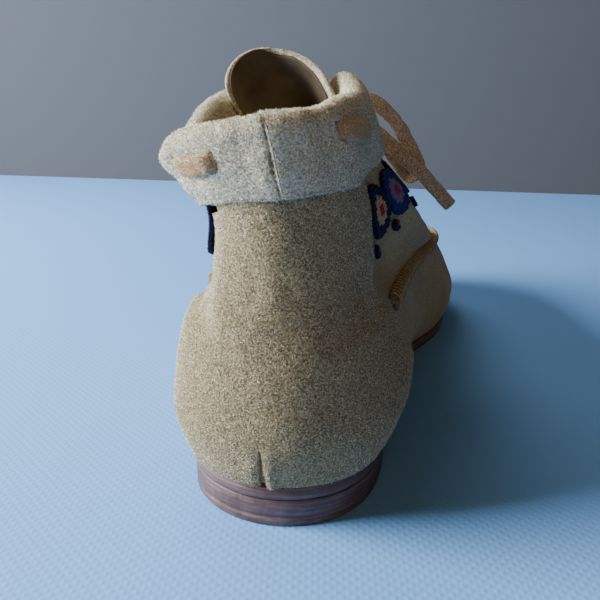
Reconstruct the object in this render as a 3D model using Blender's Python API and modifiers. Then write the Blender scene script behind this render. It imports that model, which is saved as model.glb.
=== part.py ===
"""A left ankle-height moccasin boot in suede, standing empty on its low heel.

Metres, +Z up. The origin is the middle of the heel's flat underside, +Y points to the toe
and +X to the inner (medial) side of the foot.
"""

import math

import bmesh
import bpy
from mathutils import Vector

MM = 0.001

# Driving sizes of the last and the bottom
SOLE_LENGTH = 252 * MM
BALL_WIDTH = 93 * MM
HEEL_WIDTH = 64 * MM
HEEL_HEIGHT = 9.5 * MM
SOLE_THICKNESS = 4.5 * MM
HEEL_LENGTH = 62 * MM
TOE_SPRING = 8 * MM
TOE_SWING = 6 * MM
INSTEP_HEIGHT = 66 * MM
SHAFT_HEIGHT = 105 * MM

# Walls, panels and clearances
UPPER_WALL = 1.8 * MM
INSOLE_THICKNESS = 2.5 * MM
BACK_PANEL_THICKNESS = 1.5 * MM
BAND_THICKNESS = 1.0 * MM
BAND_HEIGHT = 25 * MM
BAND_GAP = 0.5 * MM
BAND_THROAT_MARGIN = 1.2 * MM
TONGUE_THICKNESS = 2.2 * MM
TONGUE_WIDTH = 46 * MM
CUFF_THICKNESS = 1.6 * MM
CUFF_HEIGHT = 22 * MM
CUFF_LAP = 5 * MM
CUFF_LIP = 6 * MM
FEATHER_INSET = 1.2 * MM
INSOLE_CLEAR = 1.2 * MM
HEEL_INSET = 0.4 * MM
TONGUE_CLEAR = 0.8 * MM
GAP = 0.3 * MM

# Openings and cut-outs
THROAT_WIDTH = 24 * MM
THROAT_DEPTH = 36 * MM
THROAT_SKEW = 3 * MM
DART_HEIGHT = 15 * MM
DART_WIDTH = 1.2 * MM

# The raised, puckered seam round the forefoot
SEAM_WIDTH = 6.5 * MM
SEAM_RISE = 2.8 * MM
PUCKER_PITCH = 7 * MM
PUCKER_DEPTH = 0.7 * MM
SEAM_START_TURN = 64
SEAM_SHARE = 1.62

# The flat lace through the cuff
LACE_WIDTH = 5 * MM
LACE_THICKNESS = 1.3 * MM
LACE_DROP = 9 * MM
LACE_LIFT = 4.5 * MM
LACE_SLOT_CLEARANCE = 0.4 * MM
LACE_PLAY = 0.3 * MM
CORD_DIAMETER = 4 * MM
KNOT_DIAMETER = 12 * MM
KNOT_MEDIAL = 6 * MM
KNOT_FORWARD = 15.5 * MM
KNOT_DROP = 11 * MM

# How far the cuff stands off the upper: clear of its edge, and with room for the lace behind it
CUFF_CLEAR = 1.0 * MM
CUFF_STAND = 2 * (GAP + LACE_PLAY) + LACE_THICKNESS + CUFF_THICKNESS / 2

# The lace's middle off the upper, behind the cuff and outside it
LACE_HIDDEN = GAP + LACE_PLAY + LACE_THICKNESS / 2
LACE_OUTSIDE = CUFF_STAND + CUFF_THICKNESS / 2 + GAP + LACE_THICKNESS / 2 + LACE_PLAY

# Turns round the boot in degrees from the rear, negative on the lateral side. The lace lies outside
# the cuff in its windows and from its front turn on, and changes sides within its ramp.
CUFF_REAR_TURN = 13
CUFF_FRONT_TURN = 166
CUFF_SLANT = -6
LACE_WINDOWS = ((-49, -18), (45, 88))
LACE_FRONT = 128
LACE_END = 164
LACE_STEP = 4
LACE_RAMP = 9
LACE_HIGH_TURN = 40
LACE_HIGH_SPREAD = 28
PANEL_TURN = 98
BAND_TURNS = (40, 172)

# The panels end under the cuff, just below the lace
PANEL_TOP_DROP = LACE_DROP + LACE_WIDTH / 2 + 2.5 * MM
PANEL_TOP_LEVEL = 6.5
PANEL_FOOT_LEVEL = 0.12

RING_STEPS = 52
LEVEL_STEPS = 2
CUFF_STEPS = 22
CUTTER_REACH = 0.08

# The last in side view. back_y and front_y are shares of SOLE_LENGTH from the rear of the sole,
# back_z of SHAFT_HEIGHT above the seat, front_i of INSTEP_HEIGHT and front_s of SHAFT_HEIGHT above
# it, crown of INSTEP_HEIGHT, lean of HEEL_WIDTH and sag of SHAFT_HEIGHT. follow is how much of the
# sole's own arch a level keeps.
PROFILE_COLUMNS = ("back_y", "back_z", "front_y", "front_i", "front_s", "crown", "follow", "lean", "sag")
PROFILE = {
    "feather": (0.000, 0.000, 1.000, 0.000, 0.00, 0.000, 1.00, 0.000, 0.00),
    "turn": (-0.006, 0.076, 1.006, 0.094, 0.00, 0.000, 0.95, 0.000, 0.00),
    "bulge": (-0.010, 0.181, 1.004, 0.223, 0.00, 0.000, 0.70, 0.000, 0.00),
    "seam": (0.002, 0.343, 0.952, 0.448, 0.00, 0.106, 0.00, 0.000, 0.00),
    "apron": (0.018, 0.486, 0.853, 0.629, 0.00, 0.045, 0.00, 0.000, 0.00),
    "vamp": (0.030, 0.619, 0.675, 0.850, 0.00, 0.000, 0.00, 0.000, 0.00),
    "ankle": (0.036, 0.743, 0.512, 1.135, 0.00, 0.000, 0.00, 0.000, 0.00),
    "shaft": (0.034, 0.867, 0.405, 0.400, 0.62, 0.000, 0.00, -0.060, 0.04),
    "collar": (0.028, 1.000, 0.349, 0.000, 1.06, 0.000, 0.00, -0.125, 0.12),
    "tongue": (0.024, 1.190, 0.317, 0.000, 1.21, 0.000, 0.00, -0.215, 0.00),
}

# Half widths along each level. heel is a share of HEEL_WIDTH, waist to toe of BALL_WIDTH.
SIDE_COLUMNS = ("heel", "waist", "middle", "ball", "toe")
LATERAL = {
    "feather": (0.508, 0.339, 0.419, 0.495, 0.387),
    "turn": (0.528, 0.375, 0.452, 0.522, 0.414),
    "bulge": (0.565, 0.415, 0.478, 0.538, 0.430),
    "seam": (0.525, 0.418, 0.435, 0.419, 0.333),
    "apron": (0.425, 0.315, 0.345, 0.360, 0.280),
    "vamp": (0.375, 0.280, 0.300, 0.315, 0.250),
    "ankle": (0.340, 0.268, 0.285, 0.280, 0.215),
    "shaft": (0.335, 0.275, 0.290, 0.265, 0.194),
    "collar": (0.330, 0.282, 0.290, 0.260, 0.188),
    "tongue": (0.330, 0.282, 0.290, 0.260, 0.188),
}
MEDIAL = {
    "feather": (0.492, 0.285, 0.323, 0.500, 0.462),
    "turn": (0.540, 0.345, 0.378, 0.527, 0.489),
    "bulge": (0.565, 0.400, 0.420, 0.532, 0.495),
    "seam": (0.465, 0.335, 0.365, 0.420, 0.390),
    "apron": (0.390, 0.285, 0.350, 0.430, 0.370),
    "vamp": (0.370, 0.265, 0.325, 0.415, 0.365),
    "ankle": (0.335, 0.258, 0.303, 0.355, 0.295),
    "shaft": (0.330, 0.243, 0.270, 0.280, 0.215),
    "collar": (0.330, 0.262, 0.272, 0.250, 0.188),
    "tongue": (0.330, 0.262, 0.272, 0.250, 0.188),
}

# Radii of the level at its two ends: heel_end is a share of HEEL_WIDTH, toe_end of BALL_WIDTH.
END_COLUMNS = ("heel_end", "toe_end")
ENDS = {
    "feather": (0.500, 0.258),
    "turn": (0.550, 0.290),
    "bulge": (0.600, 0.312),
    "seam": (0.480, 0.215),
    "apron": (0.380, 0.160),
    "vamp": (0.330, 0.190),
    "ankle": (0.275, 0.184),
    "shaft": (0.290, 0.172),
    "collar": (0.320, 0.167),
    "tongue": (0.320, 0.167),
}
LEVELS = tuple(PROFILE)
SEAM_LEVEL = LEVELS.index("seam")
ANKLE_LEVEL = LEVELS.index("ankle")
COLLAR_LEVEL = LEVELS.index("collar")
TONGUE_LEVEL = LEVELS.index("tongue")

HEEL_CENTRE = HEEL_WIDTH / 2
ARCH_START = 0.24 * SOLE_LENGTH
ARCH_END = 0.58 * SOLE_LENGTH
SPRING_START = 0.74 * SOLE_LENGTH
SAG_PLACE = 0.30
SAG_SPREAD = 0.28

collection = bpy.data.collections.new("moccasin_boot")
cutters = bpy.data.collections.new("cutters")


def clear_scene():
    """Removes what a new file holds, and links the two collections."""
    for old in list(bpy.data.objects):
        bpy.data.objects.remove(old)
    bpy.context.scene.collection.children.link(collection)
    bpy.context.scene.collection.children.link(cutters)


def suede(name, colour, roughness):
    """One Principled material with the piece's own colour."""
    material = bpy.data.materials.new(name)
    material.use_nodes = True
    shader = material.node_tree.nodes["Principled BSDF"]
    shader.inputs["Base Color"].default_value = (*colour, 1)
    shader.inputs["Roughness"].default_value = roughness
    shader.inputs["Metallic"].default_value = 0
    return material


def blend(share):
    """A smooth step from 0 to 1."""
    share = min(max(share, 0), 1)
    return share * share * (3 - 2 * share)


def between(values, place):
    """A smooth curve through equally spaced values, read at a place counted in values."""
    last = len(values) - 1
    left = min(max(int(math.floor(place)), 0), last - 1)
    share = place - left
    before = values[left - 1] if left > 0 else 2 * values[0] - values[1]
    after = values[left + 2] if left + 2 <= last else 2 * values[last] - values[last - 1]
    start, end = values[left], values[left + 1]
    out = (end - before) / 2
    into = (after - start) / 2
    bend = 3 * (end - start) - 2 * out - into
    return start + out * share + bend * share**2 + (out + into - 2 * (end - start)) * share**3


def seat(y):
    """Height of the outsole's top over the floor, y from the rear of the sole."""
    drop = blend((y - ARCH_START) / (ARCH_END - ARCH_START))
    spring = max(y - SPRING_START, 0) / (SOLE_LENGTH - SPRING_START)
    return SOLE_THICKNESS + HEEL_HEIGHT * (1 - drop) + TOE_SPRING * spring**2


def column(table, columns, name, level):
    """One column of a table, read smoothly at a level."""
    place = columns.index(name)
    return between([table[row][place] for row in LEVELS], level)


def profile(name, level):
    return column(PROFILE, PROFILE_COLUMNS, name, level)


def ring_length(level):
    return (profile("front_y", level) - profile("back_y", level)) * SOLE_LENGTH


def fullness(side, level):
    """Nine values of half width over the sine of the turn, from the back of the level to its front."""
    table = LATERAL if side < 0 else MEDIAL
    widths = [column(table, SIDE_COLUMNS, "heel", level) * HEEL_WIDTH]
    widths += [column(table, SIDE_COLUMNS, name, level) * BALL_WIDTH for name in SIDE_COLUMNS[1:]]
    turns = [math.pi * step / 8 for step in range(2, 7)]
    inner = [width / math.sin(turn) for width, turn in zip(widths, turns)]
    half_length = ring_length(level) / 2
    heel = math.sqrt(column(ENDS, END_COLUMNS, "heel_end", level) * HEEL_WIDTH * half_length)
    toe = math.sqrt(column(ENDS, END_COLUMNS, "toe_end", level) * BALL_WIDTH * half_length)
    near_heel = heel - (heel - inner[0]) / 4
    near_toe = toe - (toe - inner[-1]) / 4
    return [heel, near_heel, *inner, near_toe, toe]


class Level:
    """One closed section of the last, from the heel round to the toe and back."""

    def __init__(self, level, inset=0.0):
        self.lateral = fullness(-1, level)
        self.medial = fullness(1, level)
        self.inset = inset
        self.start = profile("back_y", level) * SOLE_LENGTH + inset
        self.end = profile("front_y", level) * SOLE_LENGTH - inset
        self.back_z = seat(self.start) + profile("back_z", level) * SHAFT_HEIGHT
        self.front_z = (
            seat(self.end)
            + profile("front_i", level) * INSTEP_HEIGHT
            + profile("front_s", level) * SHAFT_HEIGHT
        )
        self.crown = profile("crown", level) * INSTEP_HEIGHT
        self.follow = profile("follow", level)
        self.lean = profile("lean", level) * HEEL_WIDTH
        self.sag = profile("sag", level) * SHAFT_HEIGHT

    def point(self, turn):
        """turn runs from 0 at the back over half a circle, negative on the lateral side."""
        side = -1 if turn < 0 else 1
        angle = abs(turn)
        share = (1 - math.cos(angle)) / 2
        y = self.start + (self.end - self.start) * share
        full = between(self.lateral if side < 0 else self.medial, angle / math.pi * 8)
        x = side * (full - self.inset) * math.sin(angle)
        x += self.lean + TOE_SWING * (y / SOLE_LENGTH) ** 2
        z = self.back_z + (self.front_z - self.back_z) * share + self.crown * math.sin(angle)
        line = seat(self.start) + (seat(self.end) - seat(self.start)) * share
        z += self.follow * (seat(y) - line)
        if side < 0:
            z -= self.sag * math.exp(-(((share - SAG_PLACE) / SAG_SPREAD) ** 2)) * math.sin(angle)
        return Vector((x, y - HEEL_CENTRE, z))


class Skin:
    """The faceted outer face of the upper. Everything that lies on it is read from its facets."""

    def __init__(self):
        self.levels = [step / LEVEL_STEPS for step in range(TONGUE_LEVEL * LEVEL_STEPS + 1)]
        self.turns = [-math.pi + 2 * math.pi * step / RING_STEPS for step in range(RING_STEPS + 1)]
        self.points = []
        for level in self.levels:
            inset = FEATHER_INSET * max(1 - level, 0)
            section = Level(level, inset)
            ring = [section.point(turn) for turn in self.turns]
            lift = Vector((0, 0, GAP * max(1 - level, 0)))
            self.points.append([point + lift for point in ring])
        self.normals = []
        for row in range(len(self.levels)):
            self.normals.append([self.normal(row, step) for step in range(RING_STEPS + 1)])

    def normal(self, row, step):
        low = self.points[max(row - 1, 0)][step]
        high = self.points[min(row + 1, len(self.levels) - 1)][step]
        before = self.points[row][(step - 1) % RING_STEPS]
        after = self.points[row][(step + 1) % RING_STEPS]
        return (after - before).cross(high - low).normalized()

    def at(self, turn, level, out=0.0):
        """The point of the facets at a turn and level, moved out along their normals."""
        row = min(max(level * LEVEL_STEPS, 0), len(self.levels) - 1.0001)
        step = (turn + math.pi) / (2 * math.pi) * RING_STEPS
        step = min(max(step, 0), RING_STEPS - 0.0001)
        low, left = int(row), int(step)
        up, right = row - low, step - left
        place = Vector((0, 0, 0))
        aim = Vector((0, 0, 0))
        for r, share_r in ((low, 1 - up), (low + 1, up)):
            for s, share_s in ((left, 1 - right), (left + 1, right)):
                place += self.points[r][s] * share_r * share_s
                aim += self.normals[r][s] * share_r * share_s
        return place + aim.normalized() * out

    def lines(self, low, high):
        """The grid's own turns between two turns, with the two themselves."""
        margin = math.pi / RING_STEPS / 2
        return [low, *[t for t in self.turns if low + margin < t < high - margin], high]

    def rows(self, low, high):
        """The grid's own levels between two levels, with the two themselves."""
        margin = 0.1 / LEVEL_STEPS
        return [low, *[level for level in self.levels if low + margin < level < high - margin], high]

    def below(self, turn, start, drop):
        """The level that lies a distance down the surface from a start level."""
        level = start
        step = 0.05
        here = self.at(turn, level)
        left = abs(drop)
        sign = -1 if drop > 0 else 1
        while left > 0:
            there = self.at(turn, level + sign * step)
            length = (there - here).length
            if length >= left or length < 1e-7:
                return level + sign * step * (left / max(length, 1e-7))
            left -= length
            level += sign * step
            here = there
        return level


def link(name, mesh, material, smooth=True):
    """A named object from a bmesh, in the boot's own collection."""
    bmesh.ops.recalc_face_normals(mesh, faces=mesh.faces)
    data = bpy.data.meshes.new(name)
    mesh.to_mesh(data)
    mesh.free()
    data.materials.append(material)
    if smooth:
        data.shade_smooth()
        data.set_sharp_from_angle(angle=math.radians(40))
    made = bpy.data.objects.new(name, data)
    collection.objects.link(made)
    return made


def patch(mesh, rows, closed=False):
    """Adds a grid of faces through rows of points."""
    grid = [[mesh.verts.new(point) for point in row] for row in rows]
    across = len(grid[0])
    for low, high in zip(grid, grid[1:]):
        for step in range(across if closed else across - 1):
            after = (step + 1) % across
            mesh.faces.new((low[step], low[after], high[after], high[step]))
    return grid


def sheet(name, rows, material, thickness, offset, closed=False):
    """An open sheet of faces given its thickness by Solidify."""
    mesh = bmesh.new()
    patch(mesh, rows, closed)
    made = link(name, mesh, material)
    orient(made, rows)
    wall = made.modifiers.new("wall", "SOLIDIFY")
    wall.thickness = thickness
    wall.offset = offset
    return made


def orient(made, rows):
    """Turns a sheet's faces to look the way its rows and columns say: right by up."""
    middle = len(rows) // 2
    across = len(rows[0]) // 2
    point = rows[middle][across]
    right = rows[middle][min(across + 1, len(rows[0]) - 1)] - rows[middle][across - 1]
    up = rows[min(middle + 1, len(rows) - 1)][across] - rows[middle - 1][across]
    wanted = right.cross(up)
    nearest = min(made.data.polygons, key=lambda face: (face.center - point).length)
    if nearest.normal.dot(wanted) < 0:
        made.data.flip_normals()


def prism(name, outline, span, axis):
    """A cutter: an outline of two coordinates, extruded over a span of the third."""
    mesh = bmesh.new()
    if axis == "X":
        ends = [[Vector((x, a, b)) for a, b in outline] for x in span]
    else:
        ends = [[Vector((a, y, b)) for a, b in outline] for y in span]
    near = [mesh.verts.new(point) for point in ends[0]]
    far = [mesh.verts.new(point) for point in ends[1]]
    mesh.faces.new(near)
    mesh.faces.new(list(reversed(far)))
    for step in range(len(outline)):
        after = (step + 1) % len(outline)
        mesh.faces.new((near[step], far[step], far[after], near[after]))
    bmesh.ops.recalc_face_normals(mesh, faces=mesh.faces)
    data = bpy.data.meshes.new(name)
    mesh.to_mesh(data)
    mesh.free()
    return hidden(name, data)


def hidden(name, data):
    """A cutter object, left out of the render."""
    made = bpy.data.objects.new(name, data)
    cutters.objects.link(made)
    made.hide_render = True
    made.display_type = "WIRE"
    return made


def cut(target, cutter, operation="DIFFERENCE"):
    trim = target.modifiers.new(cutter.name, "BOOLEAN")
    trim.operation = operation
    trim.object = cutter
    trim.solver = "EXACT"


def plate(name, stations, material):
    """A flat piece lofted across the foot: each station is y, left x, right x, low z, high z."""
    mesh = bmesh.new()
    rows = []
    for y, left, right, low, high in stations:
        if right - left < GAP / 2:
            middle = (left + right) / 2
            rows.append([mesh.verts.new((middle, y, high)), mesh.verts.new((middle, y, low))])
        else:
            corners = ((left, high), (right, high), (right, low), (left, low))
            rows.append([mesh.verts.new((x, y, z)) for x, z in corners])
    for near, far in zip(rows, rows[1:]):
        if len(near) == 4 and len(far) == 4:
            for step in range(4):
                after = (step + 1) % 4
                mesh.faces.new((near[step], near[after], far[after], far[step]))
        else:
            tip, wide = (near, far) if len(near) == 2 else (far, near)
            top, bottom = tip
            mesh.faces.new((top, wide[0], wide[1]))
            mesh.faces.new((bottom, wide[2], wide[3]))
            mesh.faces.new((top, bottom, wide[3], wide[0]))
            mesh.faces.new((top, wide[1], wide[2], bottom))
    for end in (rows[0], rows[-1]):
        if len(end) == 4:
            mesh.faces.new(end)
    return link(name, mesh, material)


def outline_stations(inset, low, high, end=None):
    """Stations of a plate that follows the sole's outline, drawn in by inset."""
    section = Level(0, inset)
    steps = 26
    stations = []
    for step in range(steps + 1):
        angle = math.pi * step / steps
        left, right = section.point(-angle), section.point(angle)
        y = left.y + HEEL_CENTRE
        if end is not None and y > end:
            break
        stations.append((left.y, left.x, right.x, low(y), high(y)))
    if end is not None:
        share = (end - section.start) / (section.end - section.start)
        angle = math.acos(1 - 2 * share)
        left, right = section.point(-angle), section.point(angle)
        stations.append((left.y, left.x, right.x, low(end), high(end)))
    return stations


def make_heel(material):
    """The low heel lift under the seat, its flat underside on the floor."""
    stations = outline_stations(HEEL_INSET, lambda y: 0.0, lambda y: HEEL_HEIGHT - GAP, HEEL_LENGTH)
    return plate("heel_lift", stations, material)


def make_outsole(material):
    """The outsole: heel seat, arch, flat tread at the ball and the toe's spring."""
    stations = outline_stations(0.0, lambda y: seat(y) - SOLE_THICKNESS, seat)
    return plate("outsole", stations, material)


def make_insole(material):
    """The insole board inside the upper's lower edge."""
    inset = FEATHER_INSET + UPPER_WALL + INSOLE_CLEAR
    stations = outline_stations(inset, lambda y: seat(y) + GAP, lambda y: seat(y) + GAP + INSOLE_THICKNESS)
    return plate("insole", stations, material)


def throat_outline(skin, widen):
    """The front opening in front view, a narrow U from above the collar down the instep."""
    top = skin.at(math.pi, COLLAR_LEVEL)
    half = THROAT_WIDTH / 2 + widen
    foot = half * 0.43
    above = top.z + CUFF_HEIGHT
    shoulder = top.z - 0.25 * THROAT_DEPTH
    turn = top.z - 0.92 * THROAT_DEPTH - widen
    low = top.z - THROAT_DEPTH - widen
    foot_x = top.x + THROAT_SKEW
    return [
        (top.x - half * 1.15, above),
        (top.x - half, shoulder),
        (foot_x - foot, turn),
        (foot_x, low),
        (foot_x + foot, turn),
        (top.x + half, shoulder),
        (top.x + half * 1.15, above),
    ]


def cut_throat(target, skin, widen, name):
    """Cuts the front opening through a wall at the front of the shaft."""
    front = skin.at(math.pi, COLLAR_LEVEL).y
    span = (front - 0.9 * THROAT_WIDTH, front + CUTTER_REACH)
    cut(target, prism(name, throat_outline(skin, widen), span, "Y"))


def make_upper(skin, material):
    """The hollow upper: one wall from the feather line to the collar, slit at the throat."""
    last = COLLAR_LEVEL * LEVEL_STEPS + 1
    rows = [ring[:-1] for ring in skin.points[:last]]
    made = sheet("upper", rows, material, UPPER_WALL, -1, closed=True)
    cut_throat(made, skin, 0.0, "throat_cut")
    return made


def back_edge():
    """The front edge of the back panel in side view, as y and z from the sole to the cuff."""
    sole = seat(0.26 * SOLE_LENGTH)
    top = SHAFT_HEIGHT + seat(0)
    heel = -HEEL_CENTRE
    return [
        (heel + 0.350 * SOLE_LENGTH, sole - 0.08 * SHAFT_HEIGHT),
        (heel + 0.285 * SOLE_LENGTH, sole + 0.12 * SHAFT_HEIGHT),
        (heel + 0.215 * SOLE_LENGTH, sole + 0.27 * SHAFT_HEIGHT),
        (heel + 0.180 * SOLE_LENGTH, sole + 0.42 * SHAFT_HEIGHT),
        (heel + 0.162 * SOLE_LENGTH, sole + 0.58 * SHAFT_HEIGHT),
        (heel + 0.158 * SOLE_LENGTH, top),
    ]


def make_back_panel(skin, material):
    """The one-piece rough-out panel round the heel, with the short dart at its foot."""
    turn = math.radians(PANEL_TURN)
    turns = skin.lines(-turn, turn)
    levels = skin.rows(PANEL_FOOT_LEVEL, PANEL_TOP_LEVEL)
    rows = [[skin.at(t, level, GAP) for t in turns] for level in levels]
    rows.append([skin.at(t, skin.below(t, COLLAR_LEVEL, PANEL_TOP_DROP), GAP) for t in turns])
    made = sheet("back_panel", rows, material, BACK_PANEL_THICKNESS, 1)
    edge = back_edge()
    outline = [(-HEEL_WIDTH, edge[0][1]), *edge, (-HEEL_WIDTH, edge[-1][1])]
    sides = (-CUTTER_REACH, CUTTER_REACH)
    cut(made, prism("back_panel_outline", outline, sides, "X"), "INTERSECT")
    foot = seat(0)
    half = DART_WIDTH / 2
    dart = [
        (-half, foot - DART_HEIGHT / 2),
        (half, foot - DART_HEIGHT / 2),
        (half * 0.3, foot + DART_HEIGHT),
        (-half * 0.3, foot + DART_HEIGHT),
    ]
    cut(made, prism("dart_cut", dart, (-HEEL_WIDTH, -HEEL_CENTRE / 2), "Y"))
    return made


def make_band(skin, side, name, material):
    """The beaded band under the cuff, from the back panel's edge to the throat."""
    start, stop = (math.radians(turn) for turn in BAND_TURNS)
    low, high = (start, stop) if side > 0 else (-stop, -start)
    turns = skin.lines(low, high)
    top = [skin.below(t, COLLAR_LEVEL, PANEL_TOP_DROP) for t in turns]
    foot = [skin.below(t, COLLAR_LEVEL, CUFF_HEIGHT + BAND_HEIGHT) for t in turns]
    steps = 5
    rows = []
    for step in range(steps + 1):
        share = step / steps
        levels = [low_level + (high_level - low_level) * share for low_level, high_level in zip(foot, top)]
        rows.append([skin.at(t, level, BAND_GAP) for t, level in zip(turns, levels)])
    made = sheet(name, rows, material, BAND_THICKNESS, 1)
    edge = [(y + BAND_GAP, z) for y, z in back_edge()]
    front = 0.6 * SOLE_LENGTH
    outline = [*edge, (front, edge[-1][1] + CUFF_HEIGHT), (front, edge[0][1])]
    sides = (-CUTTER_REACH, CUTTER_REACH)
    cut(made, prism(name + "_outline", outline, sides, "X"), "INTERSECT")
    cut_throat(made, skin, BAND_THROAT_MARGIN, name + "_throat")
    return made


def make_seam(skin, material):
    """The raised seam where the gathered vamp is whipped to the apron, all round the forefoot."""
    start = math.radians(SEAM_START_TURN)
    count = int(SEAM_SHARE * SOLE_LENGTH / PUCKER_PITCH)
    per_pucker = 3
    total = count * per_pucker
    rows = []
    for step in range(total + 1):
        share = step / total
        turn = start + (2 * math.pi - 2 * start) * share
        turn = turn if turn <= math.pi else turn - 2 * math.pi
        fade = min(1, 8 * share, 8 * (1 - share))
        wave = 0.5 - 0.5 * math.cos(2 * math.pi * step / per_pucker)
        rise = SEAM_RISE * (0.55 + 0.45 * fade) - PUCKER_DEPTH * wave
        flare = 0.5 * SEAM_WIDTH * (0.8 + 0.35 * (1 - wave))
        far = -SEAM_WIDTH / 2
        shape = ((flare, 0.0), (flare * 0.55, rise * 0.8), (-0.1 * flare, rise), (far, 0.0), (0.0, 0.0))
        row = []
        for drop, height in shape:
            level = skin.below(turn, SEAM_LEVEL, drop)
            row.append(skin.at(turn, level, GAP + height))
        rows.append(row)
    mesh = bmesh.new()
    grid = patch(mesh, rows, closed=True)
    mesh.faces.new(grid[0])
    mesh.faces.new(list(reversed(grid[-1])))
    return link("apron_seam", mesh, material)


def make_tongue(skin, material):
    """The tongue: a curved flap under the throat that stands above the collar with a round top."""
    start = ANKLE_LEVEL - 0.7
    low_depth = UPPER_WALL + TONGUE_CLEAR + TONGUE_THICKNESS / 2
    high_depth = low_depth + CUFF_CLEAR + CUFF_THICKNESS
    rows = []
    steps = 12
    across = 8
    for step in range(steps + 1):
        share = step / steps
        level = start + (TONGUE_LEVEL - start) * share
        over = max(level - COLLAR_LEVEL, 0) / (TONGUE_LEVEL - COLLAR_LEVEL)
        depth = low_depth + (high_depth - low_depth) * blend((level - ANKLE_LEVEL) / 1.2)
        round_top = math.sqrt(max(1 - over**2.2, 0.03))
        half = TONGUE_WIDTH / 2 * (0.72 + 0.28 * blend(share * 2)) * round_top
        section = Level(level)
        full = section.lateral[-1]
        spread = math.asin(min(half / full, 0.95))
        row = []
        for place in range(across + 1):
            turn = spread * (2 * place / across - 1)
            turn = turn + math.pi if turn <= 0 else turn - math.pi
            row.append(skin.at(turn, level, -depth))
        rows.append(row)
    return sheet("tongue", rows, material, TONGUE_THICKNESS, 0)


def cuff_point(skin, turn, down, out):
    """A point near the collar: down along the outer face, out from it. Negative down is above."""
    if down >= 0:
        return skin.at(turn, skin.below(turn, COLLAR_LEVEL, down), out)
    edge = skin.at(turn, COLLAR_LEVEL, out)
    rise = (skin.at(turn, COLLAR_LEVEL, out) - skin.at(turn, COLLAR_LEVEL - 0.2, out)).normalized()
    return edge + rise * -down


def cuff_profile(raised):
    """The turned-over cuff in section, as down and out, from the hem inside to the hem outside."""
    inside = -(UPPER_WALL + CUFF_CLEAR + CUFF_THICKNESS / 2 + raised)
    outside = CUFF_STAND + raised
    middle = (inside + outside) / 2
    top = -(CUFF_CLEAR + CUFF_THICKNESS / 2 + raised)
    return [
        (CUFF_LIP, inside),
        (GAP, inside),
        (top * 0.95, inside * 0.55 + middle * 0.45),
        (top * 1.25, middle),
        (top * 0.9, middle * 0.4 + outside * 0.6),
        (0.05 * CUFF_HEIGHT, outside),
        (0.40 * CUFF_HEIGHT, outside + 0.01 * CUFF_HEIGHT),
        (0.72 * CUFF_HEIGHT, outside),
        (CUFF_HEIGHT, outside - 0.02 * CUFF_HEIGHT),
    ]


def lace_drop(turn):
    """How far the lace's middle lies under the collar's edge: less beside the rear seam."""
    near = math.exp(-(((math.degrees(turn) - LACE_HIGH_TURN) / LACE_HIGH_SPREAD) ** 2))
    return LACE_DROP - LACE_LIFT * near


def lace_out(turn):
    """How far the lace's middle stands off the upper at a turn."""
    degrees = math.degrees(turn)
    outside = blend((abs(degrees) - LACE_FRONT + LACE_RAMP) / LACE_RAMP)
    for low, high in LACE_WINDOWS:
        rise = blend((degrees - low + LACE_RAMP / 2) / LACE_RAMP)
        fall = blend((high + LACE_RAMP / 2 - degrees) / LACE_RAMP)
        outside = max(outside, min(rise, fall))
    return LACE_HIDDEN + (LACE_OUTSIDE - LACE_HIDDEN) * outside


def make_cuff(skin, side, name, material):
    """One half of the turned-down cuff. The medial half laps over the lateral half at the rear."""
    rear = math.radians(CUFF_REAR_TURN)
    lap = CUFF_LAP / (0.42 * HEEL_WIDTH)
    first = rear if side > 0 else rear + lap
    last = side * math.radians(CUFF_FRONT_TURN)
    rows = []
    for step in range(CUFF_STEPS + 1):
        turn = first + (last - first) * step / CUFF_STEPS
        raised = 0.0
        if side > 0:
            raised = (CUFF_THICKNESS + 2 * GAP) * (1 - blend((turn - rear) / (lap * 1.2) - 1))
        near_seam = max(1 - abs(turn - rear) / math.radians(40), 0)
        row = []
        for down, out in cuff_profile(raised):
            lean = math.radians(CUFF_SLANT) * down / CUFF_HEIGHT * near_seam
            row.append(cuff_point(skin, turn + lean, down, out))
        rows.append(row)
    return sheet(name, rows, material, CUFF_THICKNESS, 0)


def ribbon_rows(skin, turns, width, thickness):
    """Closed rows of a flat strap that follows the lace's path."""
    rows = []
    for turn in turns:
        middle = lace_out(turn)
        level_up = skin.below(turn, COLLAR_LEVEL, lace_drop(turn) - width / 2)
        level_down = skin.below(turn, COLLAR_LEVEL, lace_drop(turn) + width / 2)
        rows.append([
            skin.at(turn, level_up, middle - thickness / 2),
            skin.at(turn, level_up, middle + thickness / 2),
            skin.at(turn, level_down, middle + thickness / 2),
            skin.at(turn, level_down, middle - thickness / 2),
        ])
    return rows


def ribbon(rows):
    """A closed strap through rows of four corners."""
    mesh = bmesh.new()
    grid = patch(mesh, rows, closed=True)
    mesh.faces.new(grid[0])
    mesh.faces.new(list(reversed(grid[-1])))
    bmesh.ops.recalc_face_normals(mesh, faces=mesh.faces)
    return mesh


def lace_turns():
    """The turns of the lace's run, lateral front to medial front."""
    count = int(2 * LACE_END / LACE_STEP)
    return [math.radians(-LACE_END + 2 * LACE_END * step / count) for step in range(count + 1)]


def bridge(skin, row, side):
    """The lace's last rows, from the cuff's front edge across to the knot."""
    middle = sum(row, Vector()) / len(row)
    target = knot_centre(skin) + Vector((side * (KNOT_DIAMETER / 2 + GAP), 0, 0))
    steps = 3
    return [[point + (target - middle) * (1 - step / steps) for point in row] for step in range(steps)]


def make_lace(skin, material):
    """The lace's run round the collar, in and out of the cuff's slots."""
    rows = ribbon_rows(skin, lace_turns(), LACE_WIDTH, LACE_THICKNESS)
    rows = [*bridge(skin, rows[0], -1), *rows, *reversed(bridge(skin, rows[-1], 1))]
    return link("lace_run", ribbon(rows), material)


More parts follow.
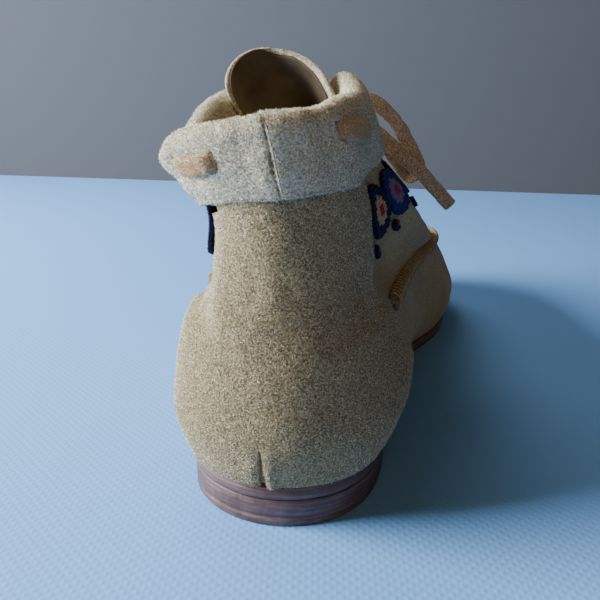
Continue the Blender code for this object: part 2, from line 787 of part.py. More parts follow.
def cut_slots(skin, cuffs):
    """Cuts each slot with a wider copy of the lace where it crosses the cuff's wall."""
    crossings = [edge for window in LACE_WINDOWS for edge in window]
    crossings += [LACE_FRONT - LACE_RAMP / 2, -LACE_FRONT + LACE_RAMP / 2]
    for number, middle in enumerate(sorted(crossings)):
        reach = LACE_RAMP / 2 + 2 * LACE_STEP
        turns = [turn for turn in lace_turns() if abs(math.degrees(turn) - middle) < reach]
        clear = 2 * LACE_SLOT_CLEARANCE
        rows = ribbon_rows(skin, turns, LACE_WIDTH + clear, LACE_THICKNESS + clear)
        mesh = ribbon(rows)
        data = bpy.data.meshes.new(f"slot_{number}")
        mesh.to_mesh(data)
        mesh.free()
        cut(cuffs[0] if middle < 0 else cuffs[1], hidden(data.name, data))


# Free stretches of the lace in front, as x, y, z in millimetres from the knot.
CORD_ROUTES = {
    "lace_loop_medial": (
        (6, 1, 3), (12, 2, 8), (20, 4, 6), (28, 8, -2), (35, 12, -14), (37, 13.5, -20),
        (33, 14.5, -23), (28, 13, -17), (21, 10, -8), (13, 7, -3), (7, 5, -2),
    ),
    "lace_end_medial": (
        (6, -1.5, -4), (14, 0, -2), (22, 3, -6), (30, 3, -13), (38, 6, -20), (45, 11, -28), (51, 16, -35),
    ),
    "lace_loop_lateral": (
        (-6, 1, 3), (-12, 2, 7), (-20, 4, 5), (-28, 7, -3), (-34, 10, -14), (-36, 12, -20),
        (-32, 14, -23), (-27, 13, -17), (-20, 10, -9), (-13, 7, -4), (-7, 5, -2),
    ),
    "lace_end_lateral": (
        (-6, -1.5, -4), (-14, 1, -5), (-22, 4, -10), (-29, 8, -19), (-34, 12, -30), (-37, 16, -42),
    ),
}


def knot_centre(skin):
    """The knot lies in front of the throat, just below the cuff's edge."""
    front = skin.at(math.pi, COLLAR_LEVEL)
    return front + Vector((KNOT_MEDIAL, KNOT_FORWARD, -KNOT_DROP))


def make_knot(skin, material):
    """The bow's knot: a flattened ball of crossed lace."""
    mesh = bmesh.new()
    bmesh.ops.create_uvsphere(mesh, u_segments=12, v_segments=8, radius=KNOT_DIAMETER / 2)
    centre = knot_centre(skin)
    for vertex in mesh.verts:
        vertex.co = Vector((vertex.co.x, vertex.co.y * 0.62, vertex.co.z * 0.8)) + centre
    return link("lace_knot", mesh, material)


def make_cord(skin, name, route, material):
    """One free stretch of lace as a plain round tube along its route."""
    centre = knot_centre(skin)
    places = [centre + Vector(step) * MM for step in route]
    per_leg = 2
    line = []
    for leg in range((len(places) - 1) * per_leg + 1):
        place = leg / per_leg
        line.append([between([point[axis] for point in places], place) for axis in range(3)])
    curve = bpy.data.curves.new(name, "CURVE")
    curve.dimensions = "3D"
    curve.bevel_depth = CORD_DIAMETER / 2
    curve.bevel_resolution = 2
    curve.use_fill_caps = True
    spline = curve.splines.new("POLY")
    spline.points.add(len(line) - 1)
    for point, place in zip(spline.points, line):
        point.co = (*place, 1)
    curve.materials.append(material)
    made = bpy.data.objects.new(name, curve)
    collection.objects.link(made)
    return made


def main():
    clear_scene()
    sole_leather = suede("sole_leather", (0.11, 0.065, 0.055), 0.55)
    cream_suede = suede("cream_suede", (0.50, 0.42, 0.29), 0.85)
    rough_suede = suede("rough_suede", (0.42, 0.33, 0.20), 0.95)
    cuff_suede = suede("cuff_suede", (0.50, 0.45, 0.33), 0.95)
    lace_suede = suede("lace_suede", (0.42, 0.24, 0.13), 0.85)
    beadwork = suede("beadwork", (0.02, 0.03, 0.20), 0.5)
    insole_leather = suede("insole_leather", (0.30, 0.20, 0.12), 0.7)

    skin = Skin()
    make_heel(sole_leather)
    make_outsole(sole_leather)
    make_insole(insole_leather)
    make_upper(skin, cream_suede)
    make_tongue(skin, rough_suede)
    make_back_panel(skin, rough_suede)
    make_band(skin, -1, "bead_band_lateral", beadwork)
    make_band(skin, 1, "bead_band_medial", beadwork)
    make_seam(skin, cream_suede)
    cuffs = (
        make_cuff(skin, -1, "cuff_lateral", cuff_suede),
        make_cuff(skin, 1, "cuff_medial", cuff_suede),
    )
    make_lace(skin, lace_suede)
    cut_slots(skin, cuffs)
    make_knot(skin, lace_suede)
    for name, route in CORD_ROUTES.items():
        make_cord(skin, name, route, lace_suede)


main()
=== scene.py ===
"""The looks of a left suede moccasin ankle boot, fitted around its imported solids.

Metres, in the solids' own frame: the origin is the middle of the heel's underside, +Y points
to the toe and +X to the inner side of the foot.
"""

import math

import bpy
import numpy as np
from mathutils import Matrix, Vector, noise


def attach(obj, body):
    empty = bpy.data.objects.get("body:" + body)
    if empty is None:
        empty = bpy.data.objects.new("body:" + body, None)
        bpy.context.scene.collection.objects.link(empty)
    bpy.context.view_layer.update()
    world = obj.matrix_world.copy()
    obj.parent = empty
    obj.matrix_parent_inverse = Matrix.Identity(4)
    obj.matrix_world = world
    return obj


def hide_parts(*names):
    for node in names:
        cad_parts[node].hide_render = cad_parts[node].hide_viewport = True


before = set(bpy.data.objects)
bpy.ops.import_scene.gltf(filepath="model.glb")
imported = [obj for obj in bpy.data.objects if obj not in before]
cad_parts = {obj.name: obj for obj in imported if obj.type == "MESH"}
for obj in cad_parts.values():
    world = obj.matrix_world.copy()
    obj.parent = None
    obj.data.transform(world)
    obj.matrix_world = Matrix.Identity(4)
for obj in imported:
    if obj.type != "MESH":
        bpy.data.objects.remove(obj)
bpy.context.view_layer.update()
MM = 0.001


# Camera, floor and light
# The boot stands on a pale blue board in front of a grey wall, lit by one wide panel like a window
# at its outer side and two weak ones. The camera stands where the photograph's stood.
CAMERA_PLACE = Vector((44.6, -194.3, 129.5)) * MM
CAMERA_AIM = Vector((3, 5, 60)) * MM
SENSOR_WIDTH = 36
LENS_LENGTH = 40
NEAREST_SEEN = 10 * MM
BOARD_PITCH = 2.4 * MM
BOARD_TURN = math.radians(35)
BOARD_DIMPLE = 0.2 * MM
WAVE_PERIOD = 0.314
FLOOR_COLOUR = "#7AB5FA"
WALL_COLOUR = "#4E5257"
ROOM_COLOUR = "#C9B99C"
ROOM_STRENGTH = 0.03
WALL_DISTANCE = 600 * MM
STAGE_WIDTH = 4
STAGE_DEPTH = 2.2
LIT_PLACE = Vector((0, 0.03, 0.05))
LIGHTS = (
    ("window", (-0.93, -0.20, 0.40), 0.55, 39.0, "#FFFFFF"),
    ("back_window", (-0.35, 0.40, 0.80), 0.50, 2.5, "#FFF8EC"),
    ("fill", (0.20, -0.95, 0.45), 0.80, 2.3, "#FFD596"),
)


def colour(code):
    """The linear colour of an sRGB hex value."""
    channels = [int(code[place:place + 2], 16) / 255 for place in (1, 3, 5)]
    linear = [c / 12.92 if c <= 0.04045 else ((c + 0.055) / 1.055) ** 2.4 for c in channels]
    return (*linear, 1)


def add(tree, kind, inputs=None, stops=None, **settings):
    """Adds a node with its settings; each input is a socket to link or a constant."""
    node = tree.nodes.new(kind)
    for name, value in settings.items():
        setattr(node, name, value)
    for name, value in (inputs or {}).items():
        if isinstance(value, bpy.types.NodeSocket):
            tree.links.new(value, node.inputs[name])
        else:
            node.inputs[name].default_value = value
    if stops:
        elements = node.color_ramp.elements
        while len(elements) < len(stops):
            elements.new(0.5)
        for element, (place, shade) in zip(elements, stops):
            element.position = place
            element.color = colour(shade) if isinstance(shade, str) else shade
    return node


def new_material(name, roughness, specular=0.3):
    """An empty material: its tree, its shader and the object coordinates that patterns read."""
    material = bpy.data.materials.new(name)
    material.use_nodes = True
    tree = material.node_tree
    shader = tree.nodes["Principled BSDF"]
    shader.inputs["Roughness"].default_value = roughness
    shader.inputs["Specular IOR Level"].default_value = specular
    return material, tree, shader, add(tree, "ShaderNodeTexCoord").outputs["Object"]


def mesh_object(name, points, faces, material):
    """A named object at the origin from points and faces."""
    data = bpy.data.meshes.new(name)
    data.from_pydata([tuple(point) for point in points], [], [tuple(face) for face in faces])
    data.materials.append(material)
    data.shade_smooth()
    made = bpy.data.objects.new(name, data)
    bpy.context.scene.collection.objects.link(made)
    return made


def put(made, place, target):
    """Puts a lamp or the camera at a place, turned to a target."""
    made.location = place
    made.rotation_euler = (target - Vector(place)).to_track_quat("-Z", "Y").to_euler()
    bpy.context.scene.collection.objects.link(made)


# A painted board has no highlight, and its pressed dimples only show as a fine weave of shade.
matte_board, tree, shader, place = new_material("matte_table_board", 0.9)
turned = add(
    tree, "ShaderNodeVectorRotate", {"Vector": place, "Angle": BOARD_TURN}, rotation_type="Z_AXIS"
)
waves = {"Vector": turned.outputs[0], "Scale": WAVE_PERIOD / BOARD_PITCH}
warp = add(tree, "ShaderNodeTexWave", waves)
weft = add(tree, "ShaderNodeTexWave", waves, bands_direction="Y")
crossed = {0: warp.outputs["Fac"], 1: weft.outputs["Fac"]}
dimples = add(tree, "ShaderNodeMath", crossed, operation="MULTIPLY")
board_bump = add(
    tree, "ShaderNodeBump", {"Height": dimples.outputs[0], "Strength": 0.35, "Distance": BOARD_DIMPLE}
)
shader.inputs["Base Color"].default_value = colour(FLOOR_COLOUR)
tree.links.new(board_bump.outputs["Normal"], shader.inputs["Normal"])
# Wall paint is quite matte and takes the light evenly.
painted_wall, tree, shader, place = new_material("painted_wall", 0.95)
shader.inputs["Base Color"].default_value = colour(WALL_COLOUR)

sides = (-STAGE_WIDTH / 2, STAGE_WIDTH / 2)
ground = [(x, y, 0) for y in (-STAGE_DEPTH / 2, WALL_DISTANCE) for x in sides]
upright = [(x, WALL_DISTANCE, z) for z in (0, STAGE_DEPTH) for x in sides]
floor = mesh_object("floor", ground, [(0, 1, 3, 2)], matte_board)
wall = mesh_object("wall", upright, [(0, 1, 3, 2)], painted_wall)

camera = bpy.data.objects.new("camera", bpy.data.cameras.new("camera"))
camera.data.sensor_width = SENSOR_WIDTH
camera.data.lens = LENS_LENGTH
camera.data.clip_start = NEAREST_SEEN
put(camera, CAMERA_PLACE, CAMERA_AIM)
bpy.context.scene.camera = camera
for name, spot, width, watts, shade in LIGHTS:
    lamp = bpy.data.objects.new(name, bpy.data.lights.new(name, "AREA"))
    lamp.data.size = width
    lamp.data.energy = watts
    lamp.data.color = colour(shade)[:3]
    put(lamp, spot, LIT_PLACE)
world = bpy.data.worlds.new("soft_room")
world.use_nodes = True
world.node_tree.nodes["Background"].inputs["Color"].default_value = colour(ROOM_COLOUR)
world.node_tree.nodes["Background"].inputs["Strength"].default_value = ROOM_STRENGTH
bpy.context.scene.world = world


# The last
# Every piece is cut and pulled over one left last. Its sections run from the feather line up to
# the top of the tongue, and all pieces are placed by a turn round the foot, a level and a height
# off its skin. The solids were made on the same last.
SOLE_LENGTH = 252 * MM
BALL_WIDTH = 93 * MM
HEEL_WIDTH = 64 * MM
HEEL_HEIGHT = 9.5 * MM
SOLE_THICKNESS = 4.5 * MM
TOE_SPRING = 8 * MM
TOE_SWING = 6 * MM
INSTEP_HEIGHT = 66 * MM
SHAFT_HEIGHT = 105 * MM
FEATHER_INSET = 1.2 * MM
GAP = 0.3 * MM
PROFILE_COLUMNS = (
    "back_y", "back_z", "front_y", "front_i", "front_s", "crown", "follow", "lean", "sag",
    "heel_end", "toe_end",
)
PROFILE = {
    "feather": (0.000, 0.000, 1.000, 0.000, 0.00, 0.000, 1.00, 0.000, 0.00, 0.500, 0.258),
    "turn": (-0.006, 0.076, 1.006, 0.094, 0.00, 0.000, 0.95, 0.000, 0.00, 0.550, 0.290),
    "bulge": (-0.010, 0.181, 1.004, 0.223, 0.00, 0.000, 0.70, 0.000, 0.00, 0.600, 0.312),
    "seam": (0.002, 0.343, 0.952, 0.448, 0.00, 0.106, 0.00, 0.000, 0.00, 0.480, 0.215),
    "apron": (0.018, 0.486, 0.853, 0.629, 0.00, 0.045, 0.00, 0.000, 0.00, 0.380, 0.160),
    "vamp": (0.030, 0.619, 0.675, 0.850, 0.00, 0.000, 0.00, 0.000, 0.00, 0.330, 0.190),
    "ankle": (0.036, 0.743, 0.512, 1.135, 0.00, 0.000, 0.00, 0.000, 0.00, 0.275, 0.184),
    "shaft": (0.034, 0.867, 0.405, 0.400, 0.62, 0.000, 0.00, -0.060, 0.04, 0.290, 0.172),
    "collar": (0.028, 1.000, 0.349, 0.000, 1.06, 0.000, 0.00, -0.125, 0.12, 0.320, 0.167),
    "tongue": (0.024, 1.190, 0.317, 0.000, 1.21, 0.000, 0.00, -0.215, 0.00, 0.320, 0.167),
}
# Half widths at the heel, the waist, the middle, the ball and the toe, level by level.
LATERAL = (
    (0.508, 0.339, 0.419, 0.495, 0.387), (0.528, 0.375, 0.452, 0.522, 0.414),
    (0.565, 0.415, 0.478, 0.538, 0.430), (0.525, 0.418, 0.435, 0.419, 0.333),
    (0.425, 0.315, 0.345, 0.360, 0.280), (0.375, 0.280, 0.300, 0.315, 0.250),
    (0.340, 0.268, 0.285, 0.280, 0.215), (0.335, 0.275, 0.290, 0.265, 0.194),
    (0.330, 0.282, 0.290, 0.260, 0.188), (0.330, 0.282, 0.290, 0.260, 0.188),
)
MEDIAL = (
    (0.492, 0.285, 0.323, 0.500, 0.462), (0.540, 0.345, 0.378, 0.527, 0.489),
    (0.565, 0.400, 0.420, 0.532, 0.495), (0.465, 0.335, 0.365, 0.420, 0.390),
    (0.390, 0.285, 0.350, 0.430, 0.370), (0.370, 0.265, 0.325, 0.415, 0.365),
    (0.335, 0.258, 0.303, 0.355, 0.295), (0.330, 0.243, 0.270, 0.280, 0.215),
    (0.330, 0.262, 0.272, 0.250, 0.188), (0.330, 0.262, 0.272, 0.250, 0.188),
)
FEATHER, TURN, BULGE, SEAM, APRON, VAMP, ANKLE, SHAFT, COLLAR, TONGUE = range(10)
HEEL_CENTRE = HEEL_WIDTH / 2
ARCH = (0.24 * SOLE_LENGTH, 0.58 * SOLE_LENGTH)
SPRING_START = 0.74 * SOLE_LENGTH
SAG_PLACE, SAG_SPREAD = 0.30, 0.28


def ease(share):
    """A smooth step from 0 to 1."""
    share = np.clip(share, 0, 1)
    return share * share * (3 - 2 * share)


def through(values, place):
    """A smooth curve through equally spaced values, read at places counted in values."""
    values = np.asarray(values, float)
    place = np.asarray(place, float)
    padded = np.concatenate([[2 * values[0] - values[1]], values, [2 * values[-1] - values[-2]]])
    left = np.clip(np.floor(place).astype(int), 0, len(values) - 2)
    share = np.asarray(place - left)
    if values.ndim > 1:
        share = share[..., None]
    before, start, end, after = (padded[left + step] for step in range(4))
    rise, fall = (end - before) / 2, (after - start) / 2
    bend = 3 * (end - start) - 2 * rise - fall
    return start + rise * share + bend * share**2 + (rise + fall - 2 * (end - start)) * share**3


def seat(y):
    """Height of the outsole's top over the floor, y from the rear of the sole."""
    drop = ease((y - ARCH[0]) / (ARCH[1] - ARCH[0]))
    spring = np.maximum(y - SPRING_START, 0) / (SOLE_LENGTH - SPRING_START)
    return SOLE_THICKNESS + HEEL_HEIGHT * (1 - drop) + TOE_SPRING * spring**2


def shape_at(level):
    """The last's profile, read smoothly at a level."""
    return dict(zip(PROFILE_COLUMNS, through(list(PROFILE.values()), level)))


def section(level, turns, inset=0.0):
    """Points of one closed section of the last. Turns run from 0 at the heel to pi at the toe,
    negative on the lateral side."""
    shape = shape_at(level)
    half_length = (shape["front_y"] - shape["back_y"]) * SOLE_LENGTH / 2
    start = shape["back_y"] * SOLE_LENGTH + inset
    end = shape["front_y"] * SOLE_LENGTH - inset
    heel = math.sqrt(shape["heel_end"] * HEEL_WIDTH * half_length)
    toe = math.sqrt(shape["toe_end"] * BALL_WIDTH * half_length)
    angle = np.abs(turns)
    share = (1 - np.cos(angle)) / 2
    y = start + (end - start) * share
    x = np.zeros_like(y)
    for side, table in ((-1, LATERAL), (1, MEDIAL)):
        widths = through(table, level) * np.array((HEEL_WIDTH, *[BALL_WIDTH] * 4))
        inner = [width / math.sin(math.pi * step / 8) for step, width in zip(range(2, 7), widths)]
        near_heel = heel - (heel - inner[0]) / 4
        near_toe = toe - (toe - inner[-1]) / 4
        full = through([heel, near_heel, *inner, near_toe, toe], angle / math.pi * 8)
        here = (turns < 0) == (side < 0)
        x = np.where(here, side * (full - inset) * np.sin(angle), x)
    x = x + shape["lean"] * HEEL_WIDTH + TOE_SWING * (y / SOLE_LENGTH) ** 2
    back_z = seat(start) + shape["back_z"] * SHAFT_HEIGHT
    front_z = seat(end) + shape["front_i"] * INSTEP_HEIGHT + shape["front_s"] * SHAFT_HEIGHT
    z = back_z + (front_z - back_z) * share + shape["crown"] * INSTEP_HEIGHT * np.sin(angle)
    z = z + shape["follow"] * (seat(y) - seat(start) - (seat(end) - seat(start)) * share)
    sunk = np.exp(-(((share - SAG_PLACE) / SAG_SPREAD) ** 2)) * np.sin(angle)
    z = np.where(turns < 0, z - shape["sag"] * SHAFT_HEIGHT * sunk, z)
    return np.stack([x, y - HEEL_CENTRE, z], axis=-1)


TURNS = np.linspace(-math.pi, math.pi, 1081)
LEVELS = np.linspace(FEATHER, TONGUE, 271)
SURFACE = np.stack([section(level, TURNS, FEATHER_INSET * max(1 - level, 0)) for level in LEVELS])
SURFACE[:, :, 2] += GAP * np.maximum(1 - LEVELS, 0)[:, None]
wrapped = np.concatenate([SURFACE[:, -2:-1], SURFACE, SURFACE[:, 1:2]], axis=1)
NORMALS = np.cross(np.gradient(wrapped, axis=1)[:, 1:-1], np.gradient(SURFACE, axis=0))
NORMALS /= np.linalg.norm(NORMALS, axis=2, keepdims=True)
climb = np.linalg.norm(np.diff(SURFACE, axis=0), axis=2)
HEIGHTS = np.concatenate([np.zeros((1, len(TURNS))), np.cumsum(climb, axis=0)])


def on_last(turn, level, out=0.0):
    """Points at turns, levels and distances off the skin of the last."""
    turn, level, out = np.broadcast_arrays(turn, level, out)
    across = ((turn + math.pi) % (2 * math.pi)) / (2 * math.pi) * (len(TURNS) - 1)
    up = np.clip(level, 0, LEVELS[-1]) / LEVELS[-1] * (len(LEVELS) - 1)
    left = np.clip(across.astype(int), 0, len(TURNS) - 2)
    low = np.clip(up.astype(int), 0, len(LEVELS) - 2)
    across = (across - left)[..., None]
    up = (up - low)[..., None]
    mixed = []
    for grid in (SURFACE, NORMALS):
        below = grid[low, left] * (1 - across) + grid[low, left + 1] * across
        above = grid[low + 1, left] * (1 - across) + grid[low + 1, left + 1] * across
        mixed.append(below * (1 - up) + above * up)
    spot, off = mixed
    return spot + off / np.linalg.norm(off, axis=-1, keepdims=True) * out[..., None]


def level_below(turn, start, drop):
    """The levels that lie distances down the skin from a start level, at one turn."""
    share = ((turn + math.pi) % (2 * math.pi)) / (2 * math.pi)
    heights = HEIGHTS[:, int(round(share * (len(TURNS) - 1)))]
    return np.interp(np.interp(start, LEVELS, heights) - drop, heights, LEVELS)


def levels_below(turns, start, drop):
    """The same for many turns at once, one drop or one for each."""
    drops = np.broadcast_to(drop, np.shape(turns))
    return np.array([level_below(turn, start, down) for turn, down in zip(turns, drops)])


# The heel and the outsole
# A low stacked heel and a thin leather outsole, cemented and trimmed together, dyed dark brown
# and scuffed along the floor. A groove runs where the sole's layers meet.
HEEL_LENGTH = 62 * MM
SOLE_SIDE_STEPS = 150
WELD_REACH = 0.004 * MM
SOLE_BROWN = ("#3C2D2E", "#624E4D", "#86716F")
# Each edge from the floor up, in mm: how far it is drawn in, and its height over the floor for the
# heel and over the seat for the outsole.
HEEL_PROFILE = (
    (1.6, 0), (0.75, 0.15), (0.4, 0.7), (0.3, 3.2), (0.5, 3.45), (0.35, 3.7), (0.4, 8.7), (0.7, 9.2),
)
OUTSOLE_PROFILE = (
    (1.0, -4.5), (0.25, -4.3), (0, -3.8), (0, -1.55), (0.35, -1.25), (0.35, -1.05), (-0.1, -0.8),
    (0, -0.35), (0.5, 0),
)


def ring_faces(rows, count, looped=False, flip=False):
    """The faces between closed rings of points, one row after the other."""
    faces = []
    for row in range(rows if looped else rows - 1):
        low, high = row * count, (row + 1) % rows * count
        for step in range(count):
            after = (step + 1) % count
            near, far = (after, step) if flip else (step, after)
            faces.append([low + near, low + far, high + far, high + near])
    return faces


def made_from(name, parts, material):
    """One object from several sets of points and faces, welded where they meet."""
    points = np.concatenate([part[0] for part in parts])
    faces = []
    first = 0
    for part in parts:
        faces += [[first + corner for corner in face] for face in part[1]]
        first += len(part[0])
    made = mesh_object(name, points, faces, material)
    made.modifiers.new("weld", "WELD").merge_threshold = WELD_REACH
    return plain(made)


def plain(made):
    """Applies an object's modifiers: its mesh becomes the one that it shows."""
    bpy.context.view_layer.update()
    graph = bpy.context.evaluated_depsgraph_get()
    data = bpy.data.meshes.new_from_object(made.evaluated_get(graph), depsgraph=graph)
    data.name = made.name
    made.modifiers.clear()
    made.data = data
    data.shade_smooth()
    return made


def trimmed_stack(profile, end=None):
    """Points and faces of a layer of sole with an edge profile, cut off at end if one is given."""
    rings = []
    for inset, rise in np.array(profile) * MM:
        reach = 1 if end is None else (end - 2 * inset) / (SOLE_LENGTH - 2 * inset)
        angles = np.linspace(0, math.acos(1 - 2 * reach), SOLE_SIDE_STEPS + 1)
        left, right = section(FEATHER, -angles, inset), section(FEATHER, angles, inset)
        if end is None:
            left[0], left[-1] = right[0], right[-1]
        ring = np.concatenate([right, left[::-1]])
        ring[:, 2] = rise + (seat(ring[:, 1] + HEEL_CENTRE) if end is None else 0)
        rings.append(ring)
    count = len(rings[0])
    faces = ring_faces(len(rings), count)
    for first, flip in ((0, True), ((len(rings) - 1) * count, False)):
        for step in range(count // 2 - 1):
            face = [first + step, first + step + 1, first + count - 2 - step, first + count - 1 - step]
            faces.append(face[::-1] if flip else face)
    return np.concatenate(rings), faces


def sole_leather(name):
    """Trimmed sole leather, dyed and waxed: a low gloss with dull scuffs, streaks along the layers."""
    material, tree, shader, place = new_material(name, 0.5, 0.35)
    laid = add(tree, "ShaderNodeMapping", {"Vector": place, "Scale": (0.06, 0.06, 1)})
    streak = {"Vector": laid.outputs["Vector"], "Scale": 0.5 / (0.7 * MM), "Detail": 6, "Roughness": 0.7}
    streaks = add(tree, "ShaderNodeTexNoise", streak)
    scuff = {"Vector": place, "Scale": 0.5 / (4 * MM), "Detail": 8, "Roughness": 0.75}
    scuffs = add(tree, "ShaderNodeTexNoise", scuff)
    grit = add(tree, "ShaderNodeTexNoise", {"Vector": place, "Scale": 0.5 / (0.45 * MM), "Detail": 3})
    both = {0: 0.42, 2: streaks.outputs["Fac"], 3: scuffs.outputs["Fac"]}
    mixed = add(tree, "ShaderNodeMix", both, data_type="FLOAT")
    dye_stops = tuple(zip((0.36, 0.52, 0.66), SOLE_BROWN))
    dyed = add(tree, "ShaderNodeValToRGB", {"Fac": mixed.outputs[0]}, dye_stops)
    rough = {0: grit.outputs["Fac"], 1: 0.5, 2: streaks.outputs["Fac"]}
    height = add(tree, "ShaderNodeMath", rough, operation="MULTIPLY_ADD")
    bump = add(
        tree, "ShaderNodeBump", {"Height": height.outputs[0], "Strength": 0.5, "Distance": 0.25 * MM}
    )
    wear_and_painted_shade = scuffs.outputs["Fac"]
    dulled = {"Value": wear_and_painted_shade, "From Min": 0.35, "From Max": 0.65, "To Min": 0.38, "To Max": 0.68}
    gloss = add(tree, "ShaderNodeMapRange", dulled)
    tree.links.new(dyed.outputs["Color"], shader.inputs["Base Color"])
    tree.links.new(bump.outputs["Normal"], shader.inputs["Normal"])
    tree.links.new(gloss.outputs["Result"], shader.inputs["Roughness"])
    return material


heel_leather = sole_leather("dyed_stacked_heel_leather")
heel = made_from("heel_lift_leather", [trimmed_stack(HEEL_PROFILE, HEEL_LENGTH)], heel_leather)
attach(heel, "root")
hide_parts("heel_lift")

outsole_leather = sole_leather("dyed_outsole_leather")
outsole = made_from("outsole_leather", [trimmed_stack(OUTSOLE_PROFILE)], outsole_leather)
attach(outsole, "root")
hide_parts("outsole")


# The insole
# A board covered with smooth brown leather, dropped in on the outsole. Only the view down
# through the collar shows it, so the solid itself is kept.
def mottled(name, shades, grain, detail, roughness, specular, stops=(0.35, 0.65)):
    """A material in two shades, mixed by an uneven grain of a real width; and what a bump needs."""
    material, tree, shader, place = new_material(name, roughness, specular)
    mixed = add(tree, "ShaderNodeTexNoise", {"Vector": place, "Scale": 0.5 / grain, "Detail": detail})
    dyed = add(tree, "ShaderNodeValToRGB", {"Fac": mixed.outputs["Fac"]}, tuple(zip(stops, shades)))
    tree.links.new(dyed.outputs["Color"], shader.inputs["Base Color"])
    return material, tree, shader, place, mixed.outputs["Fac"]


# Smooth tanned leather keeps a faint gloss that its pores break up.
insole_cover, tree, shader, place, pores = mottled(
    "smooth_insole_leather", ("#6B5236", "#8E7250"), 1.2 * MM, 5, 0.6, 0.3
)
pore_bump = add(tree, "ShaderNodeBump", {"Height": pores, "Strength": 0.3, "Distance": 0.15 * MM})
tree.links.new(pore_bump.outputs["Normal"], shader.inputs["Normal"])
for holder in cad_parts["insole"].material_slots:
    holder.material = insole_cover


# The upper
# One wall of cream suede, smooth side out: the vamp is drawn up round the foot and gathered
# under the seam, and the apron and the quarters close it above.
UPPER_WALL = 1.8 * MM
UPPER_ROUND, UPPER_TALL = 520 * MM, 150 * MM
GATHERS_START = math.radians(64)
PUCKER_PITCH = 6 * MM
PUCKER_DEPTH = 0.75 * MM
PUCKER_REACH = 7 * MM
LEVEL_STEP = 22 * MM
PATCH_WIDTH = 14 * MM
# Suede stops: painted shade between the tufts, the upper's own colour, painted light at their tips; all
# three are darkened slightly as painted shade.
SMOOTH_SUEDE = ("#7E6A43", "#AF9B70", "#CDBD92")
# Each crease: its way over the last as turns in degrees and levels, its depth and its width.
FOOT_CREASES = (
    (((143, 2.2), (152, 3.2), (168, 4.25), (186, 4.35), (204, 3.4), (214, 2.4)), 1.0 * MM, 3.4 * MM),
    (((134, 2.6), (140, 3.6), (158, 4.9), (186, 5.05), (206, 4.0), (222, 2.6)), 0.8 * MM, 3.8 * MM),
    (((120, 1.6), (116, 2.6), (113, 3.2)), 0.7 * MM, 4.5 * MM),
    (((238, 1.5), (244, 2.5), (250, 3.1)), 0.8 * MM, 4.5 * MM),
)
ANKLE_CREASES = (
    (((272, 4.2), (290, 4.6), (312, 4.5), (328, 4.1)), 1.0 * MM, 5.0 * MM),
    (((96, 4.9), (76, 4.6), (52, 4.2)), 0.7 * MM, 5.5 * MM),
    (((330, 5.6), (344, 5.2), (352, 4.4)), 0.5 * MM, 5.0 * MM),
    (((20, 6.2), (28, 5.2), (30, 4.2)), 0.45 * MM, 5.0 * MM),
    (((128, 5.6), (140, 5.3), (160, 5.5)), 0.7 * MM, 4.0 * MM),
    (((232, 5.6), (220, 5.3), (200, 5.5)), 0.7 * MM, 4.0 * MM),
)
# How far the worn collar has sunk, in mm, by turns in degrees.
COLLAR_DIP = (
    (-166, 0), (-130, 0.5), (-110, 1.5), (-90, 3.2), (-70, 5.2), (-50, 6.0), (-35, 5.5), (-15, 4.3),
    (5, 3.4), (25, 2.8), (45, 1.2), (63, 0), (166, 0),
)


def lengths_along(path):
    """How far each point of a path lies from its start."""
    return np.concatenate([[0], np.cumsum(np.linalg.norm(np.diff(path, axis=0), axis=1))])


def shares(count, length, thickness):
    """Shares across a sheet, with extra lines beside both cut edges, which are rounded off."""
    near = np.array([0, 0.12, 0.4, 0.8]) * thickness / 2 / length
    return np.concatenate([near, np.linspace(0, 1, count + 1)[1:-1], 1 - near[::-1]])


def rounding(share, length, thickness):
    """How much of a sheet's thickness is left near a cut edge: none at share 0, all further in."""
    reach = np.clip(share * length / (thickness / 2), 0, 1)
    return np.sqrt(np.clip(1 - (1 - reach) ** 2, 0, 1))


def edged(share, length, thickness):
    """The same for a sheet that is cut at both of its ends."""
    return rounding(np.minimum(share, 1 - share), length, thickness)


def grid_faces(rows, columns, first=0, flip=False, holes=None):
    """The faces of a grid of points, less those in holes."""
    row, step = np.meshgrid(np.arange(rows - 1), np.arange(columns - 1), indexing="ij")
    if holes is not None:
        row, step = row[~holes], step[~holes]
    low = first + row * columns + step
    corners = [low, low + 1, low + columns + 1, low + columns]
    if flip:
        corners.reverse()
    return np.stack([np.ravel(corner) for corner in corners], axis=1).tolist()


def walls(outer, inner, holes=None):
    """Points and faces of a sheet between two grids, with a rim round each hole."""
    rows, columns = outer.shape[:2]
    points = np.concatenate([outer.reshape(-1, 3), inner.reshape(-1, 3)])
    count = rows * columns
    faces = grid_faces(rows, columns, 0, False, holes) + grid_faces(rows, columns, count, True, holes)
    for row, step in zip(*np.nonzero(holes)) if holes is not None else ():
        corners = [(row, step), (row, step + 1), (row + 1, step + 1), (row + 1, step)]
        beyond = [(row - 1, step), (row, step + 1), (row + 1, step), (row, step - 1)]
        for side, (other_row, other_step) in enumerate(beyond):
            inside = 0 <= other_row < rows - 1 and 0 <= other_step < columns - 1
            if inside and not holes[other_row, other_step]:
                (row_a, step_a), (row_b, step_b) = corners[side], corners[(side + 1) % 4]
                start, end = row_a * columns + step_a, row_b * columns + step_b
                faces.append([start, end, end + count, start + count])
    return points, faces


def swell(spots, size, height):
    """Soft unevenness of the leather: how far each spot moves out."""
    moves = [noise.noise(Vector(spot)) for spot in spots.reshape(-1, 3) / size]
    return np.array(moves).reshape(spots.shape[:-1]) * height


def waisted(points):
    """How far the ankle draws in above the heel's bulge, at both sides of the shaft."""
    x, y, z = (points[..., axis] / MM for axis in range(3))
    drawn = ease((z - 54) / 6) * (1 - ease((z - 78) / 24))
    beside = ease((np.abs(x) - 12) / 10) * ease((62 - y) / 20)
    return -np.where(x < 0, 3.2, 1.0) * MM * drawn * beside


